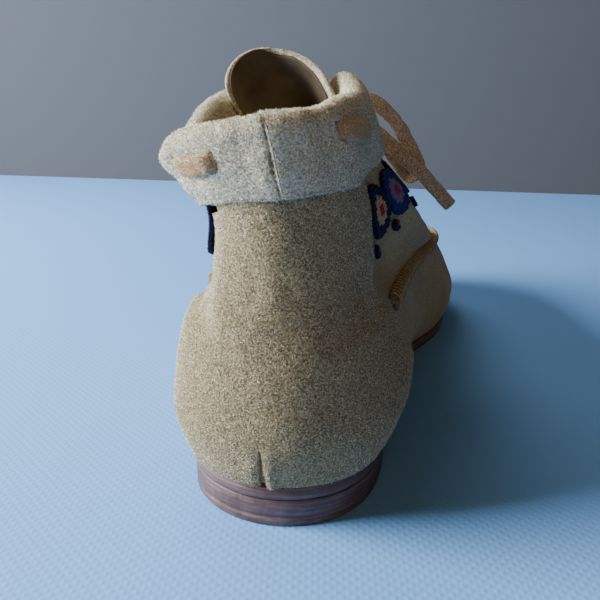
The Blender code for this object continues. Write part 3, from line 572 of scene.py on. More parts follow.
def creased(spots, creases):
    """How far each spot moves for the creases: a trough along each, with a low ridge beside it."""
    moves = np.zeros(spots.shape[:-1])
    for path, depth, width in creases:
        turns, levels = zip(*path)
        steps = np.linspace(0, len(path) - 1, 50)
        far = np.full(moves.shape, np.inf)
        for spot in on_last(np.radians(through(turns, steps)), through(levels, steps)):
            far = np.minimum(far, np.linalg.norm(spots - spot, axis=-1))
        moves += depth * (0.45 * np.exp(-((far / width - 1.7) ** 2)) - np.exp(-((far / width) ** 2)))
    return moves


def suede(name, shades, nap, rise):
    """Suede: short fibres that stand in tufts, so it is matte, with painted shade between them and
    painted light at their tips, and brushed into soft patches. nap is the real width of a tuft
    and rise its height."""
    material, tree, shader, place = new_material(name, 0.95, 0.1)
    bent = add(tree, "ShaderNodeTexNoise", {"Vector": place, "Scale": 0.7 / nap, "Detail": 2})
    bend = {0: bent.outputs["Color"], 1: (nap, nap, nap), 2: place}
    spot = add(tree, "ShaderNodeVectorMath", bend, operation="MULTIPLY_ADD")
    tufts = add(tree, "ShaderNodeTexVoronoi", {"Vector": spot.outputs[0], "Scale": 1 / nap})
    fine = {"Vector": place, "Scale": 0.9 / nap, "Detail": 5, "Roughness": 0.72}
    fibres = add(tree, "ShaderNodeTexNoise", fine)
    patch = add(tree, "ShaderNodeTexNoise", {"Vector": place, "Scale": 0.6 / PATCH_WIDTH, "Detail": 4})
    far = tufts.outputs["Distance"]
    tops = {"Value": far, "From Min": 0.05, "From Max": 0.5, "To Min": 1.0, "To Max": 0.0}
    tip = add(tree, "ShaderNodeMapRange", tops)
    chosen = {0: tip.outputs[0], 1: tufts.outputs["Color"]}
    lifted = add(tree, "ShaderNodeMath", chosen, operation="MULTIPLY")
    summed = {0: lifted.outputs[0], 1: 0.30, 2: fibres.outputs["Fac"]}
    height = add(tree, "ShaderNodeMath", summed, operation="MULTIPLY_ADD")
    # The ramp paints shade where the pile is low, between the tufts, and light at the tufts' tips.
    shaded_pile_stops = tuple(zip((0.40, 0.55, 0.70), shades))
    shaded_pile = add(tree, "ShaderNodeValToRGB", {"Fac": height.outputs[0]}, shaded_pile_stops)
    brush_stops = ((0.35, (0.80, 0.79, 0.77, 1)), (0.65, (1, 1, 1, 1)))
    brushed = add(tree, "ShaderNodeValToRGB", {"Fac": patch.outputs["Fac"]}, brush_stops)
    # The pile's painted shade and light, times the brushed patches.
    layers = {0: 1.0, 6: shaded_pile.outputs["Color"], 7: brushed.outputs["Color"]}
    wear_and_painted_shade = add(tree, "ShaderNodeMix", layers, data_type="RGBA", blend_type="MULTIPLY")
    bump = add(tree, "ShaderNodeBump", {"Height": height.outputs[0], "Strength": 1.0, "Distance": rise})
    tree.links.new(wear_and_painted_shade.outputs[2], shader.inputs["Base Color"])
    tree.links.new(bump.outputs["Normal"], shader.inputs["Normal"])
    shader.inputs["Sheen Weight"].default_value = 0.15
    shader.inputs["Sheen Roughness"].default_value = 0.6
    return material


seam_lengths = lengths_along(on_last(TURNS, SEAM))


def gathers(turn, level):
    """The vamp's pleats: folds at the pucker pitch that fade away from the seam on both sides."""
    above = (level - SEAM) * LEVEL_STEP
    near = np.where(above < 0, np.exp(above / PUCKER_REACH), np.exp(-above / (0.45 * PUCKER_REACH)))
    gathered = ease((np.abs(turn) - GATHERS_START) / math.radians(12))
    wave = np.sin(2 * math.pi * np.interp(turn, TURNS, seam_lengths) / PUCKER_PITCH)
    return PUCKER_DEPTH * wave * near * gathered


def throat_half(level):
    """Half the opening at the front in turns, from a slit at its foot to the collar."""
    return np.radians(np.interp(level, (5.9, 6.05, 6.3, 7.2, 8.0), (0, 5, 10, 25, 29)))


def collar_dip(turn):
    """How far the worn collar has sunk at a turn."""
    return np.interp(np.degrees(turn), *zip(*COLLAR_DIP)) * MM


across, up = np.meshgrid(shares(330, UPPER_ROUND, UPPER_WALL), shares(94, UPPER_TALL, UPPER_WALL))
half = throat_half(up * COLLAR)
turn = (2 * across - 1) * (math.pi - half)
rim_turns = np.linspace(-math.pi, math.pi, 361)
rim_levels = levels_below(rim_turns, COLLAR, collar_dip(rim_turns))
level = up * np.interp(turn, rim_turns, rim_levels)
skin = on_last(turn, level)
relief = creased(skin, FOOT_CREASES + ANKLE_CREASES) + gathers(turn, level)
relief = (relief + swell(skin, 14 * MM, 0.35 * MM)) * ease(level / 0.4) + waisted(skin)
slit = ease(half / math.radians(5))
keep = 1 - (1 - edged(across, UPPER_ROUND, UPPER_WALL)) * slit
keep = keep * edged(up, UPPER_TALL, UPPER_WALL)
outer = on_last(turn, level, relief - UPPER_WALL / 2 + keep * UPPER_WALL / 2)
inner = on_last(turn, level, relief * 0.8 - UPPER_WALL / 2 - keep * UPPER_WALL / 2)
# Its nap is short, so the shade is even and the creases carry the look.
upper_suede = suede("smooth_cream_suede", SMOOTH_SUEDE, 0.5 * MM, 0.12 * MM)
upper = made_from("upper_suede", [walls(outer, inner)], upper_suede)
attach(upper, "root")
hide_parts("upper")


# The back panel
# One piece of thicker suede with its rough side out, wrapped round the heel from the sole to the
# cuff. Its foot is drawn in by a short dart at the rear, whose edges stand a little proud.
PANEL_THICKNESS = 1.5 * MM
PANEL_ROUND, PANEL_TALL = 95 * MM, 115 * MM
PANEL_FOOT, PANEL_TOP = 0.10, 7.12
PANEL_LATERAL_CUT = 28 * MM
CUT_START, CUT_REACH = 83 * MM, 12 * MM
PANEL_EDGE = (
    (0.350, -0.080), (0.285, 0.120), (0.215, 0.270), (0.180, 0.420), (0.162, 0.580), (0.158, 0.980),
)
DART_HEIGHT = 15 * MM
DART_WIDTH = 0.9 * MM
LIPS = {-1: (0.35, 3, 1.8), 1: (0.9, 2.2, 1.5)}
# Suede stops: painted shade between the tufts, the suede's own colour, painted light at their tips.
ROUGH_SUEDE = ("#5F5234", "#A6956C", "#D2C69E")
FIBRE_TAN = ("#6E6040", "#F4ECD0")
FIBRE_INPUTS = ("Fibres Per Area", "Fibre Length", "Fibre Width")
FIBRE_TILT = (1.25, 1.25, 3.1)
SHORTEST_FIBRE = 0.35

edge_y = [share * SOLE_LENGTH - HEEL_CENTRE for share, rise in PANEL_EDGE]
edge_z = [float(seat(0.26 * SOLE_LENGTH)) + rise * SHAFT_HEIGHT for share, rise in PANEL_EDGE]


def panel_limit(levels, side):
    """The turn at which the back panel ends at each level on one side."""
    limits = []
    turns = side * np.linspace(0, math.radians(120), 481)
    for height in levels:
        spots = on_last(turns, height)
        past = spots[:, 1] - np.interp(spots[:, 2], edge_z, edge_y)
        if side < 0:
            past = past + PANEL_LATERAL_CUT * ease((spots[:, 2] - CUT_START) / CUT_REACH)
        step = max(int(np.argmax(past > 0)), 1)
        share = past[step - 1] / (past[step - 1] - past[step])
        limits.append(turns[step - 1] + (turns[step] - turns[step - 1]) * share)
    return np.array(limits)


def node_tree(name, sizes):
    """A new geometry tree with a mesh in, a mesh out and named sizes."""
    tree = bpy.data.node_groups.new(name, "GeometryNodeTree")
    tree.interface.new_socket("Geometry", in_out="INPUT", socket_type="NodeSocketGeometry")
    for size in sizes:
        tree.interface.new_socket(size, in_out="INPUT", socket_type="NodeSocketFloat")
    tree.interface.new_socket("Geometry", in_out="OUTPUT", socket_type="NodeSocketGeometry")
    return tree, tree.nodes.new("NodeGroupInput").outputs


def grown(made, tree, sizes):
    """Runs a geometry tree with its sizes on an object, and keeps the mesh that comes out."""
    grower = made.modifiers.new(tree.name, "NODES")
    grower.node_group = tree
    for socket in tree.interface.items_tree:
        if socket.in_out == "INPUT" and socket.name in sizes:
            grower[socket.identifier] = sizes[socket.name]
    return plain(made)


def finished(tree, geometry, material):
    """Ends a geometry tree: instances are made real and take their material."""
    real = add(tree, "GeometryNodeRealizeInstances", {"Geometry": geometry})
    dressed = {"Geometry": real.outputs["Geometry"], "Material": material}
    painted = add(tree, "GeometryNodeSetMaterial", dressed)
    add(tree, "NodeGroupOutput", {"Geometry": painted.outputs["Geometry"]})


def fibre_kind(name, shades, tree_name, seed):
    """Loose suede fibres: matte, each paler or darker by where it grows, so that the edges look
    soft. Returns their material and the tree that grows them out of a face, tilted at random."""
    material = mottled(name, shades, 0.225 * MM, 1, 0.9, 0.1, (0.40, 0.60))[0]
    tree, given = node_tree(tree_name, FIBRE_INPUTS)
    density = {"Mesh": given["Geometry"], "Density": given["Fibres Per Area"], "Seed": seed}
    spread = add(tree, "GeometryNodeDistributePointsOnFaces", density)
    span = {0: tuple(-part for part in FIBRE_TILT), 1: FIBRE_TILT, 8: seed + 1}
    tilt = add(tree, "FunctionNodeRandomValue", span, data_type="FLOAT_VECTOR")
    reach = {2: SHORTEST_FIBRE, 3: 1.0, 8: seed + 2}
    length = add(tree, "FunctionNodeRandomValue", reach, data_type="FLOAT")
    turned = add(tree, "FunctionNodeEulerToRotation", {"Euler": tilt.outputs[0]})
    leaning = {"Rotation": spread.outputs["Rotation"], "Rotate By": turned.outputs[0]}
    aimed = add(tree, "FunctionNodeRotateRotation", leaning, rotation_space="LOCAL")
    long, wide = given["Fibre Length"], given["Fibre Width"]
    taper = {"Vertices": 3, "Radius Bottom": wide, "Radius Top": 0.0, "Depth": long}
    fibre = add(tree, "GeometryNodeMeshCone", taper, fill_type="NONE")
    standing = {
        "Points": spread.outputs["Points"], "Instance": fibre.outputs["Mesh"],
        "Rotation": aimed.outputs[0], "Scale": length.outputs[1],
    }
    placed = add(tree, "GeometryNodeInstanceOnPoints", standing)
    finished(tree, placed.outputs["Instances"], material)
    return material, tree


def nap(name, points, faces, kind, fibres, slot):
    """The loose fibres on some faces of a piece: how many a square metre, how long and how wide."""
    material, tree = kind
    made = mesh_object(name, points.reshape(-1, 3), faces, material)
    made = grown(made, tree, dict(zip(FIBRE_INPUTS, fibres)))
    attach(made, "root")


panel_fibres = fibre_kind("loose_tan_suede_fibres", FIBRE_TAN, "panel_nap", 11)
parts = []
for side, name in ((-1, "lateral"), (1, "medial")):
    panel_turns = shares(105, PANEL_ROUND, PANEL_THICKNESS)
    if side < 0:
        panel_turns = 1 - panel_turns[::-1]
    across, up = np.meshgrid(panel_turns, shares(110, PANEL_TALL, PANEL_THICKNESS))
    level = PANEL_FOOT + (PANEL_TOP - PANEL_FOOT) * up
    limit = panel_limit(level[:, 0], side)[:, None]
    height = on_last(0.0 * level, level)[..., 2] - float(seat(0))
    half = np.clip(1 - height / DART_HEIGHT, 0, 1) ** 0.8 * DART_WIDTH / 2 / (HEEL_WIDTH / 2)
    share = across if side > 0 else 1 - across
    turn = side * (half + (np.abs(limit) - half) * share)
    skin = on_last(turn, level)
    beside = np.abs(skin[..., 0]) / MM
    low = np.clip(1.15 - height / DART_HEIGHT, 0, 1)
    proud, lip_place, lip_width = LIPS[side]
    lip = proud * np.exp(-(((beside - lip_place) / lip_width) ** 2))
    trough = -0.55 * np.exp(-((beside / 1.6) ** 2))
    relief = creased(skin, ANKLE_CREASES) + swell(skin, 16 * MM, 0.5 * MM) + swell(skin, 4 * MM, 0.18 * MM)
    relief = relief * ease(level / 0.5) + (lip + trough) * low * MM
    slit = np.clip(half * (HEEL_WIDTH / 2) / (0.15 * MM), 0, 1)
    keep = 1 - (1 - rounding(share, PANEL_ROUND, PANEL_THICKNESS)) * slit
    keep = keep * rounding(1 - share, PANEL_ROUND, PANEL_THICKNESS) * edged(up, PANEL_TALL, PANEL_THICKNESS)
    middle = GAP + PANEL_THICKNESS / 2 + np.maximum(relief, -0.2 * MM) + waisted(skin)
    outer = on_last(turn, level, middle + keep * PANEL_THICKNESS / 2)
    inner = on_last(turn, level, middle - keep * PANEL_THICKNESS / 2)
    parts.append(walls(outer, inner))
    fibres = (6.5e6, 0.8 * MM, 0.09 * MM)
    faces = grid_faces(*outer.shape[:2])
    nap(f"back_panel_nap_{name}", outer, faces, panel_fibres, fibres, "rough_suede")
# Its nap is long and loose, so the tufts show as a grainy mix of painted shade between them and painted
# light at their tips.
panel_suede = suede("rough_out_tan_suede", ROUGH_SUEDE, 0.6 * MM, 0.8 * MM)
back_panel = made_from("back_panel_suede", parts, panel_suede)
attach(back_panel, "root")
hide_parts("back_panel")


# The apron seam
# The gathered vamp is whipped to the apron with waxed thread. The gathers stand up as a row of
# short rounded pleats round the forefoot, each held by one stitch.
SEAM_WIDTH = 6.5 * MM
SEAM_RISE = 2.8 * MM
SEAM_END_FADE = 0.015
SEAM_FIRST = math.radians(58)
SEAM_LAST = math.radians(66)
VAMP_PLEAT = 3.6 * MM
PLEAT_CREASE = 1.7 * MM
PLEAT_STEPS = 12
THREAD_WIDTH = 0.8 * MM
# The thread's own colour and the seam suede's stops are darkened as painted shade; the suede's stops also
# paint shade between its tufts and light at their tips.
THREAD_COLOURS_WITH_PAINTED_SHADE = ("#75684E", "#AA9C7C")
SEAM_SUEDE_WITH_PAINTED_SHADE = ("#483D29", "#7C6E50", "#A89978")


def rod_faces(rows, count):
    """The faces of a rod of closed rings, capped at both ends."""
    faces = ring_faces(rows, count, flip=True)
    return faces + [list(range(count)), [rows * count - 1 - step for step in range(count)]]


seam_turns = np.linspace(SEAM_FIRST, 2 * math.pi - SEAM_LAST, 1400)
seam_run = lengths_along(on_last(seam_turns, SEAM))
pleats = int(seam_run[-1] / VAMP_PLEAT)
pleat_steps = np.linspace(0, 1, pleats * PLEAT_STEPS + 1)
pleat_turns = np.interp(pleat_steps * seam_run[-1], seam_run, seam_turns)
lobe = np.abs(np.sin(math.pi * (pleat_steps * pleats % 1))) ** 0.7
fade = np.clip(np.minimum(pleat_steps, 1 - pleat_steps) / SEAM_END_FADE, 0, 1) ** 0.5
uneven = [noise.noise(Vector((step * pleats * 0.9, 3.1, 0))) for step in pleat_steps]
rows = []
for turn, full, strength, odd in zip(pleat_turns, lobe, fade, uneven):
    rise = SEAM_RISE * (0.55 + 0.45 * strength) * (1 + 0.25 * odd) - PLEAT_CREASE * (1 - full) * strength
    spread = SEAM_WIDTH / 2 * (0.62 + 0.55 * full * strength + 0.2 * odd)
    far = -SEAM_WIDTH / 2
    down, out = np.transpose((
        (spread * 1.04, 0.25 * MM), (spread * 1.02, 0.30 * rise), (spread * 0.84, 0.68 * rise),
        (spread * 0.48, 0.95 * rise), (0.05 * spread, rise), (0.30 * far, 0.80 * rise),
        (0.58 * far, 0.42 * rise), (0.85 * far, 0.18 * rise), (far, 0.02 * MM),
        (0.5 * far, -0.2 * MM), (0.4 * spread, -0.2 * MM),
    ))
    rows.append(on_last(turn, level_below(turn, SEAM, down), GAP + out))
rows = np.array(rows)
rows += swell(rows, 2.2 * MM, 0.22 * MM)[..., None]
# The seam suede's colours are darkened as painted shade, and it shades from pleat to pleat.
seam_suede = suede("gathered_seam_suede", SEAM_SUEDE_WITH_PAINTED_SHADE, 0.55 * MM, 0.25 * MM)
apron_seam = mesh_object("apron_seam_suede", rows.reshape(-1, 3), rod_faces(*rows.shape[:2]), seam_suede)
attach(apron_seam, "root")
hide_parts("apron_seam")

# Wax gives the thread a dull shine, and its twist shows as uneven shade.
waxed_thread = mottled("waxed_seam_thread", THREAD_COLOURS_WITH_PAINTED_SHADE, 0.25 * MM, 2, 0.6, 0.3)[0]
tree, given = node_tree("whip_stitches", ("Stitch Reach", "Stitch Height", "Thread Width"))
pose = add(tree, "GeometryNodeInputNamedAttribute", {"Name": "pose"}, data_type="FLOAT_VECTOR")
posed = add(tree, "FunctionNodeEulerToRotation", {"Euler": pose.outputs["Attribute"]})
bow = {"Resolution": 12, "Radius": 1.0, "Start Angle": 0.0, "Sweep Angle": math.pi}
arc = add(tree, "GeometryNodeCurveArc", bow)
reach = {"X": given["Stitch Reach"], "Y": given["Stitch Height"], "Z": 1.0}
squash = add(tree, "ShaderNodeCombineXYZ", reach)
squeezed = {"Geometry": arc.outputs[0], "Scale": squash.outputs["Vector"]}
oval = add(tree, "GeometryNodeTransform", squeezed)
round_thread = {"Resolution": 7, "Radius": given["Thread Width"]}
thread = add(tree, "GeometryNodeCurvePrimitiveCircle", round_thread)
sewn = {"Curve": oval.outputs["Geometry"], "Profile Curve": thread.outputs["Curve"], "Fill Caps": True}
stitch = add(tree, "GeometryNodeCurveToMesh", sewn)
row = {"Points": given["Geometry"], "Instance": stitch.outputs["Mesh"], "Rotation": posed.outputs[0]}
placed = add(tree, "GeometryNodeInstanceOnPoints", row)
finished(tree, placed.outputs["Instances"], waxed_thread)

creases = np.arange(1, pleats) * PLEAT_STEPS
spots = on_last(pleat_turns[creases], SEAM, GAP)
along = on_last(pleat_turns[creases + 3], SEAM) - on_last(pleat_turns[creases - 3], SEAM)
raised = on_last(pleat_turns[creases], SEAM, 2 * MM) - spots
stitches = mesh_object("apron_seam_stitches", spots, [], waxed_thread)
posing = stitches.data.attributes.new("pose", "FLOAT_VECTOR", "POINT")
for number, (forward, up) in enumerate(zip(along, raised)):
    up = Vector(up).normalized()
    forward = Vector(forward).normalized()
    reach = (up.cross(forward) + 0.45 * forward).normalized()
    side_way = reach.cross(up).normalized()
    posing.data[number].vector = Matrix((reach, up, side_way)).transposed().to_euler()
sizes = {"Stitch Reach": SEAM_WIDTH * 0.50, "Stitch Height": SEAM_RISE * 0.95}
stitches = grown(stitches, tree, {**sizes, "Thread Width": THREAD_WIDTH / 2})
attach(stitches, "root")


# The flower bands
# Rows of small glass beads sewn to a navy cloth backing, which is cut along the beads into a chain
# of flowers: pale petals and a red or pink middle on a navy ground with stepped edges.
BEAD_PITCH = 1.49 * MM
BEAD_RISE = 0.35 * MM
BACKING_THICKNESS = 0.6 * MM
BAND_DROP = {1: 39.6 * MM, -1: 31 * MM}
BAND_LIFT = 0.3 * MM
FLOWER_BEADS = 14
FLOWER_TURN = {1: math.radians(73.7), -1: math.radians(-52)}
CLOTH_NAVY = ("#080B24", "#151B45")
# Each bead's own colour, darkened in part as painted shade.
BEAD_COLOURS_WITH_PAINTED_SHADE = {
    "n": "#0C0F30", "v": "#1C1B60", "c": "#A89474", "r": "#941E14", "l": "#746080", "p": "#8E2848",
}
SECOND_FLOWER = {"n": "v", "c": "l", "r": "p"}
FLOWER_CHART = (
    ".....nnnn.....",
    "...nnnnnnnn...",
    "..nnnnnnnnnn..",
    ".nnnnnccnnnnn.",
    ".nnnccccccnnn.",
    "nnnnccccccnnnn",
    "nnncccrrrccnnn",
    "nnncccrrrccnnn",
    "nnncccrrrccnnn",
    ".nnnccccccnnn.",
    ".nnnccccccnnn.",
    ".nnnnnccnnnnn.",
    "..nnnnnnnnnn..",
    "..nnnnnnnnnn..",
    "...nnnnnnnn...",
    ".....nnnn.....",
)
LEAF_CHART = (".n.", "nnp", "nnp", "nnn", ".nn")

# Worn seed beads catch the light weakly, each in one colour. Cotton cloth under them is flat dark.
glass, tree, shader, place = new_material("seed_bead_glass", 0.55, 0.2)
shade = add(tree, "ShaderNodeAttribute", attribute_name="shade")
tree.links.new(shade.outputs["Color"], shader.inputs["Base Color"])
backing_cloth = mottled("navy_cloth_backing", CLOTH_NAVY, 0.6 * MM, 3, 0.95, 0.1)[0]

bead_tree, given = node_tree("sewn_beads", ("Bead Width", "Bead Length"))
aim = add(bead_tree, "GeometryNodeInputNamedAttribute", {"Name": "aim"}, data_type="FLOAT_VECTOR")
outward = {"Vector": aim.outputs["Attribute"]}
faced = add(bead_tree, "FunctionNodeAlignRotationToVector", outward, axis="Z")
ball = {"Segments": 8, "Rings": 5, "Radius": given["Bead Width"]}
one_bead = add(bead_tree, "GeometryNodeMeshUVSphere", ball)
rotation = faced.outputs["Rotation"]
strung = {"Points": given["Geometry"], "Instance": one_bead.outputs["Mesh"], "Rotation": rotation}
placed = add(bead_tree, "GeometryNodeInstanceOnPoints", strung)
flattened = add(bead_tree, "ShaderNodeCombineXYZ", {"X": 1.0, "Y": 1.0, "Z": given["Bead Length"]})
pressed = {"Instances": placed.outputs["Instances"], "Scale": flattened.outputs["Vector"]}
squashed = add(bead_tree, "GeometryNodeScaleInstances", pressed)
finished(bead_tree, squashed.outputs["Instances"], glass)

high = len(FLOWER_CHART)
for side, name in ((-1, "lateral"), (1, "medial")):
    seek = side * np.linspace(math.radians(30), math.radians(157), 700)
    run = lengths_along(on_last(seek, levels_below(seek, COLLAR, BAND_DROP[side])))
    start = np.interp(abs(FLOWER_TURN[side]), np.abs(seek), run) - FLOWER_BEADS / 2 * BEAD_PITCH
    columns = int((run[-1] - start) / BEAD_PITCH)
    chart = np.full((high + len(LEAF_CHART), columns), " ")
    for flower in range(columns // FLOWER_BEADS):
        for row, line in enumerate(FLOWER_CHART + (LEAF_CHART if side > 0 else ())):
            for step, letter in enumerate(line):
                if flower % 2 and row < high:
                    letter = SECOND_FLOWER.get(letter, letter)
                if letter != ".":
                    chart[row, flower * FLOWER_BEADS + step] = letter
    edge_turns = np.interp(start + np.arange(columns + 1) * BEAD_PITCH, run, seek)
    drops = BAND_DROP[side] + (np.arange(len(chart) + 1) - high / 2) * BEAD_PITCH
    levels = np.array([level_below(turn, COLLAR, drops) for turn in edge_turns]).T
    holes = np.ones((len(chart) + 2, columns + 2), bool)
    holes[1:-1, 1:-1] = chart == " "
    faced_out = [on_last(edge_turns[None, :], levels, BAND_LIFT + out) for out in (BACKING_THICKNESS, 0)]
    outer, inner = (np.pad(face, ((1, 1), (1, 1), (0, 0)), mode="edge") for face in faced_out)
    sheet = walls(inner, outer, holes) if side > 0 else walls(outer, inner, holes)
    backing = made_from(f"bead_backing_{name}", [sheet], backing_cloth)
    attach(backing, "root")
    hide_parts(f"bead_band_{name}")

    rows_at, steps_at = np.nonzero(chart != " ")
    bead_turns = np.interp(start + (steps_at + 0.5) * BEAD_PITCH, run, seek)
    bead_drops = BAND_DROP[side] + (rows_at + 0.5 - high / 2) * BEAD_PITCH
    bead_levels = levels_below(bead_turns, COLLAR, bead_drops)
    spots = on_last(bead_turns, bead_levels, BAND_LIFT + BACKING_THICKNESS + BEAD_RISE)
    aims = spots - on_last(bead_turns, bead_levels)
    aims /= np.linalg.norm(aims, axis=1, keepdims=True)
    beads = mesh_object(f"beads_{name}", spots, [], glass)
    shades = beads.data.attributes.new("shade", "FLOAT_COLOR", "POINT")
    aimed = beads.data.attributes.new("aim", "FLOAT_VECTOR", "POINT")
    for number, letter in enumerate(chart[rows_at, steps_at]):
        tint = 1 + 0.25 * noise.noise(spots[number] * 900)
        shades.data[number].color = [min(part * tint, 1) for part in colour(BEAD_COLOURS_WITH_PAINTED_SHADE[letter])[:3]] + [1]
        aimed.data[number].vector = aims[number]
    beads = grown(beads, bead_tree, {"Bead Width": BEAD_PITCH * 0.49, "Bead Length": 0.72})
    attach(beads, "root")


# The tongue
# A curved flap of the same rough-out suede, lined with smooth brown leather. Its round top stands
# above the collar, and its two layers show at the cut edge.
TONGUE_THICKNESS = 2.2 * MM
TONGUE_EDGE = 1.3 * MM
TONGUE_WIDTH = 46 * MM
TONGUE_LENGTH = 90 * MM
TONGUE_CLEAR = 0.8 * MM
TONGUE_START = ANKLE - 0.7
CUFF_THICKNESS = 1.6 * MM
CUFF_CLEAR = 1.0 * MM
# Suede stops: painted shade between the tufts, the tongue's own colour, painted light at their tips.
TONGUE_SUEDE = ("#7E745C", "#BDB39B", "#E2DAC6")
LINING_BROWN = ("#3F362A", "#665B49")
CUFF_FIBRE = ("#968D70", "#FFFAE6")
# Each layer: how far it lies off the middle in mm, its thickness, and how much is trimmed off its
# lateral edge, its medial edge and its top.
TONGUE_LAYERS = (
    ("tongue_suede", 0.2, 1.9 * MM, (0, 0, 0)),
    ("tongue_lining", -0.95, 0.7 * MM, (2.4 * MM, 0.5 * MM, 1.3 * MM)),
)


def grid_normals(points):
    """The direction off a grid of points at each of them."""
    normal = np.cross(np.gradient(points, axis=1), np.gradient(points, axis=0))
    return normal / np.maximum(np.linalg.norm(normal, axis=2, keepdims=True), 1e-9)


low_depth = UPPER_WALL + TONGUE_CLEAR + TONGUE_THICKNESS / 2
tongue_rows = shares(90, TONGUE_LENGTH, TONGUE_EDGE)
tongue_steps = shares(64, TONGUE_WIDTH, TONGUE_EDGE)
middle = []
for share in tongue_rows:
    level = TONGUE_START + (TONGUE - TONGUE_START) * share
    over = max(level - COLLAR, 0) / (TONGUE - COLLAR)
    depth = low_depth + (CUFF_CLEAR + CUFF_THICKNESS) * ease((level - ANKLE) / 1.2)
    round_top = math.sqrt(max(1 - over**2.2, 0.03))
    half = TONGUE_WIDTH / 2 * (0.72 + 0.28 * ease(share * 2)) * round_top
    shape = shape_at(level)
    length = (shape["front_y"] - shape["back_y"]) * SOLE_LENGTH
    full = math.sqrt(shape["toe_end"] * BALL_WIDTH * length / 2)
    turns = math.pi + math.asin(min(half / full, 0.95)) * (2 * tongue_steps - 1)
    middle.append(on_last(turns, level, -depth))
middle = np.array(middle)
across, up = np.meshgrid(tongue_steps, tongue_rows)
middle = middle + (swell(middle, 16 * MM, 1.0 * MM) * ease(up))[..., None] * np.array((0.2, 1, 0))
direction = grid_normals(middle)
edge_in = np.minimum(np.minimum(across, 1 - across) * TONGUE_WIDTH, (1 - up) * TONGUE_LENGTH)
near_edge = (edge_in[1:, 1:] + edge_in[:-1, :-1]) / 2

cuff_fibres = fibre_kind("loose_cuff_suede_fibres", CUFF_FIBRE, "cuff_nap", 23)
# The tongue is worn, so its nap lies flatter and greyer than the panel's.
tongue_suede = suede("rough_out_tongue_suede", TONGUE_SUEDE, 0.7 * MM, 0.45 * MM)
# Smooth lining leather is duller than the insole's, stained by wear and finely grained.
lining, tree, shader, place, stains = mottled(
    "smooth_brown_lining", LINING_BROWN, 11 * MM, 4, 0.72, 0.22
)
grain = add(tree, "ShaderNodeTexVoronoi", {"Vector": place, "Scale": 1 / (1.1 * MM)})
pressed = {"Height": grain.outputs["Distance"], "Strength": 0.35, "Distance": 0.12 * MM}
grain_bump = add(tree, "ShaderNodeBump", pressed)
tree.links.new(grain_bump.outputs["Normal"], shader.inputs["Normal"])
for name, shift, thickness, (first_trim, last_trim, top_trim) in TONGUE_LAYERS:
    kept_rows = tongue_rows <= 1 - top_trim / TONGUE_LENGTH
    kept_steps = tongue_steps >= first_trim / TONGUE_WIDTH
    kept_steps &= tongue_steps <= 1 - last_trim / TONGUE_WIDTH
    part = np.ix_(kept_rows, kept_steps)
    rows, steps = tongue_rows[kept_rows], tongue_steps[kept_steps]
    keep = rounding(np.minimum(steps - steps[0], steps[-1] - steps), TONGUE_WIDTH, thickness)[None, :]
    in_row = np.minimum(rows - rows[0], rows[-1] - rows)
    keep = keep * rounding(in_row, TONGUE_LENGTH, thickness)[:, None]
    sheet = middle[part] + direction[part] * (shift + swell(middle[part], 4 * MM, 0.2))[..., None] * MM
    push = direction[part] * (keep * thickness / 2)[..., None]
    layer = made_from(name, [walls(sheet - push, sheet + push)], tongue_suede if shift > 0 else lining)
    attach(layer, "root")
    if shift > 0:
        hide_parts("tongue")
        faces = grid_faces(*sheet.shape[:2])
        fibres = (4e6, 1.0 * MM, 0.1 * MM)
        nap("tongue_nap", sheet - push, faces, panel_fibres, fibres, "rough_suede")
        faces = grid_faces(*sheet.shape[:2], flip=True, holes=near_edge > 2.2 * MM)
        fibres = (30e6, 1.0 * MM, 0.1 * MM)
        nap("tongue_rim_nap", sheet + push, faces, cuff_fibres, fibres, "rough_suede")


# The cuff
# The collar is finished with a cuff of thick brushed suede, folded over the upper's edge and left
# raw at its hem. Its two halves lap at the rear, and short slits in it hold the lace.
CUFF_HEIGHT = 22 * MM
CUFF_LAP = 5 * MM
CUFF_LIP = 6 * MM
CUFF_ROUND, CUFF_TALL = 120 * MM, 48 * MM
CUFF_REAR = math.radians(13)
CUFF_FRONT = math.radians(166)
CUFF_SLANT = -4
FRONT_CURL = 4.5 * MM
LACE_WIDTH = 5 * MM
LACE_THICKNESS = 1.3 * MM
LACE_PLAY = 0.3 * MM
LACE_WINDOWS = ((-39, -14), (45, 76))
LACE_FRONT = 128
LACE_RAMP = 9
SLIT_HALF = 0.55 * MM
SLIT_ROUND = 27 * MM
CUFF_STAND = 2 * (GAP + LACE_PLAY) + LACE_THICKNESS + CUFF_THICKNESS / 2
HEM_RAW = 1.0 * MM
# Suede stops: painted shade between the tufts, the cuff's own colour, painted light at their tips.
CUFF_SUEDE = ("#979074", "#E4DCC0", "#FBF6E2")


def bell(place, middle, spread):
    """A smooth hill of height 1."""
    return np.exp(-(((place - middle) / spread) ** 2))


def cuff_flare(turn):
    """How far the cuff's rim leans out at the outer rear corner and in at the inner side."""
    place = np.degrees(turn)
    return (0.9 * bell(place, -50, 24) - 1.2 * bell(place, 78, 26)) * MM


def lace_drop(turn):
    """How far the lace's middle lies under the collar's level: less beside the rear seam."""
    place = np.degrees(turn)
    tilt = 1.8 * MM * np.tanh((place + 33) / 15) * bell(place, -33, 40)
    return 9 * MM - 3.4 * MM * bell(place, 40, 28) + tilt


def lace_out(turn):
    """How far the lace's middle stands off the upper: behind the cuff, or outside in the windows."""
    place = np.degrees(turn)
    outside = ease((np.abs(place) - LACE_FRONT + LACE_RAMP) / LACE_RAMP)
    for low, high in LACE_WINDOWS:
        rise = ease((place - low + LACE_RAMP / 2) / LACE_RAMP)
        fall = ease((high + LACE_RAMP / 2 - place) / LACE_RAMP)
        outside = np.maximum(outside, np.minimum(rise, fall))
    hidden = GAP + LACE_PLAY + LACE_THICKNESS / 2
    shown = CUFF_STAND + CUFF_THICKNESS / 2 + GAP + LACE_THICKNESS / 2 + LACE_PLAY
    return hidden + (shown - hidden) * outside + 0.15 * cuff_flare(turn)


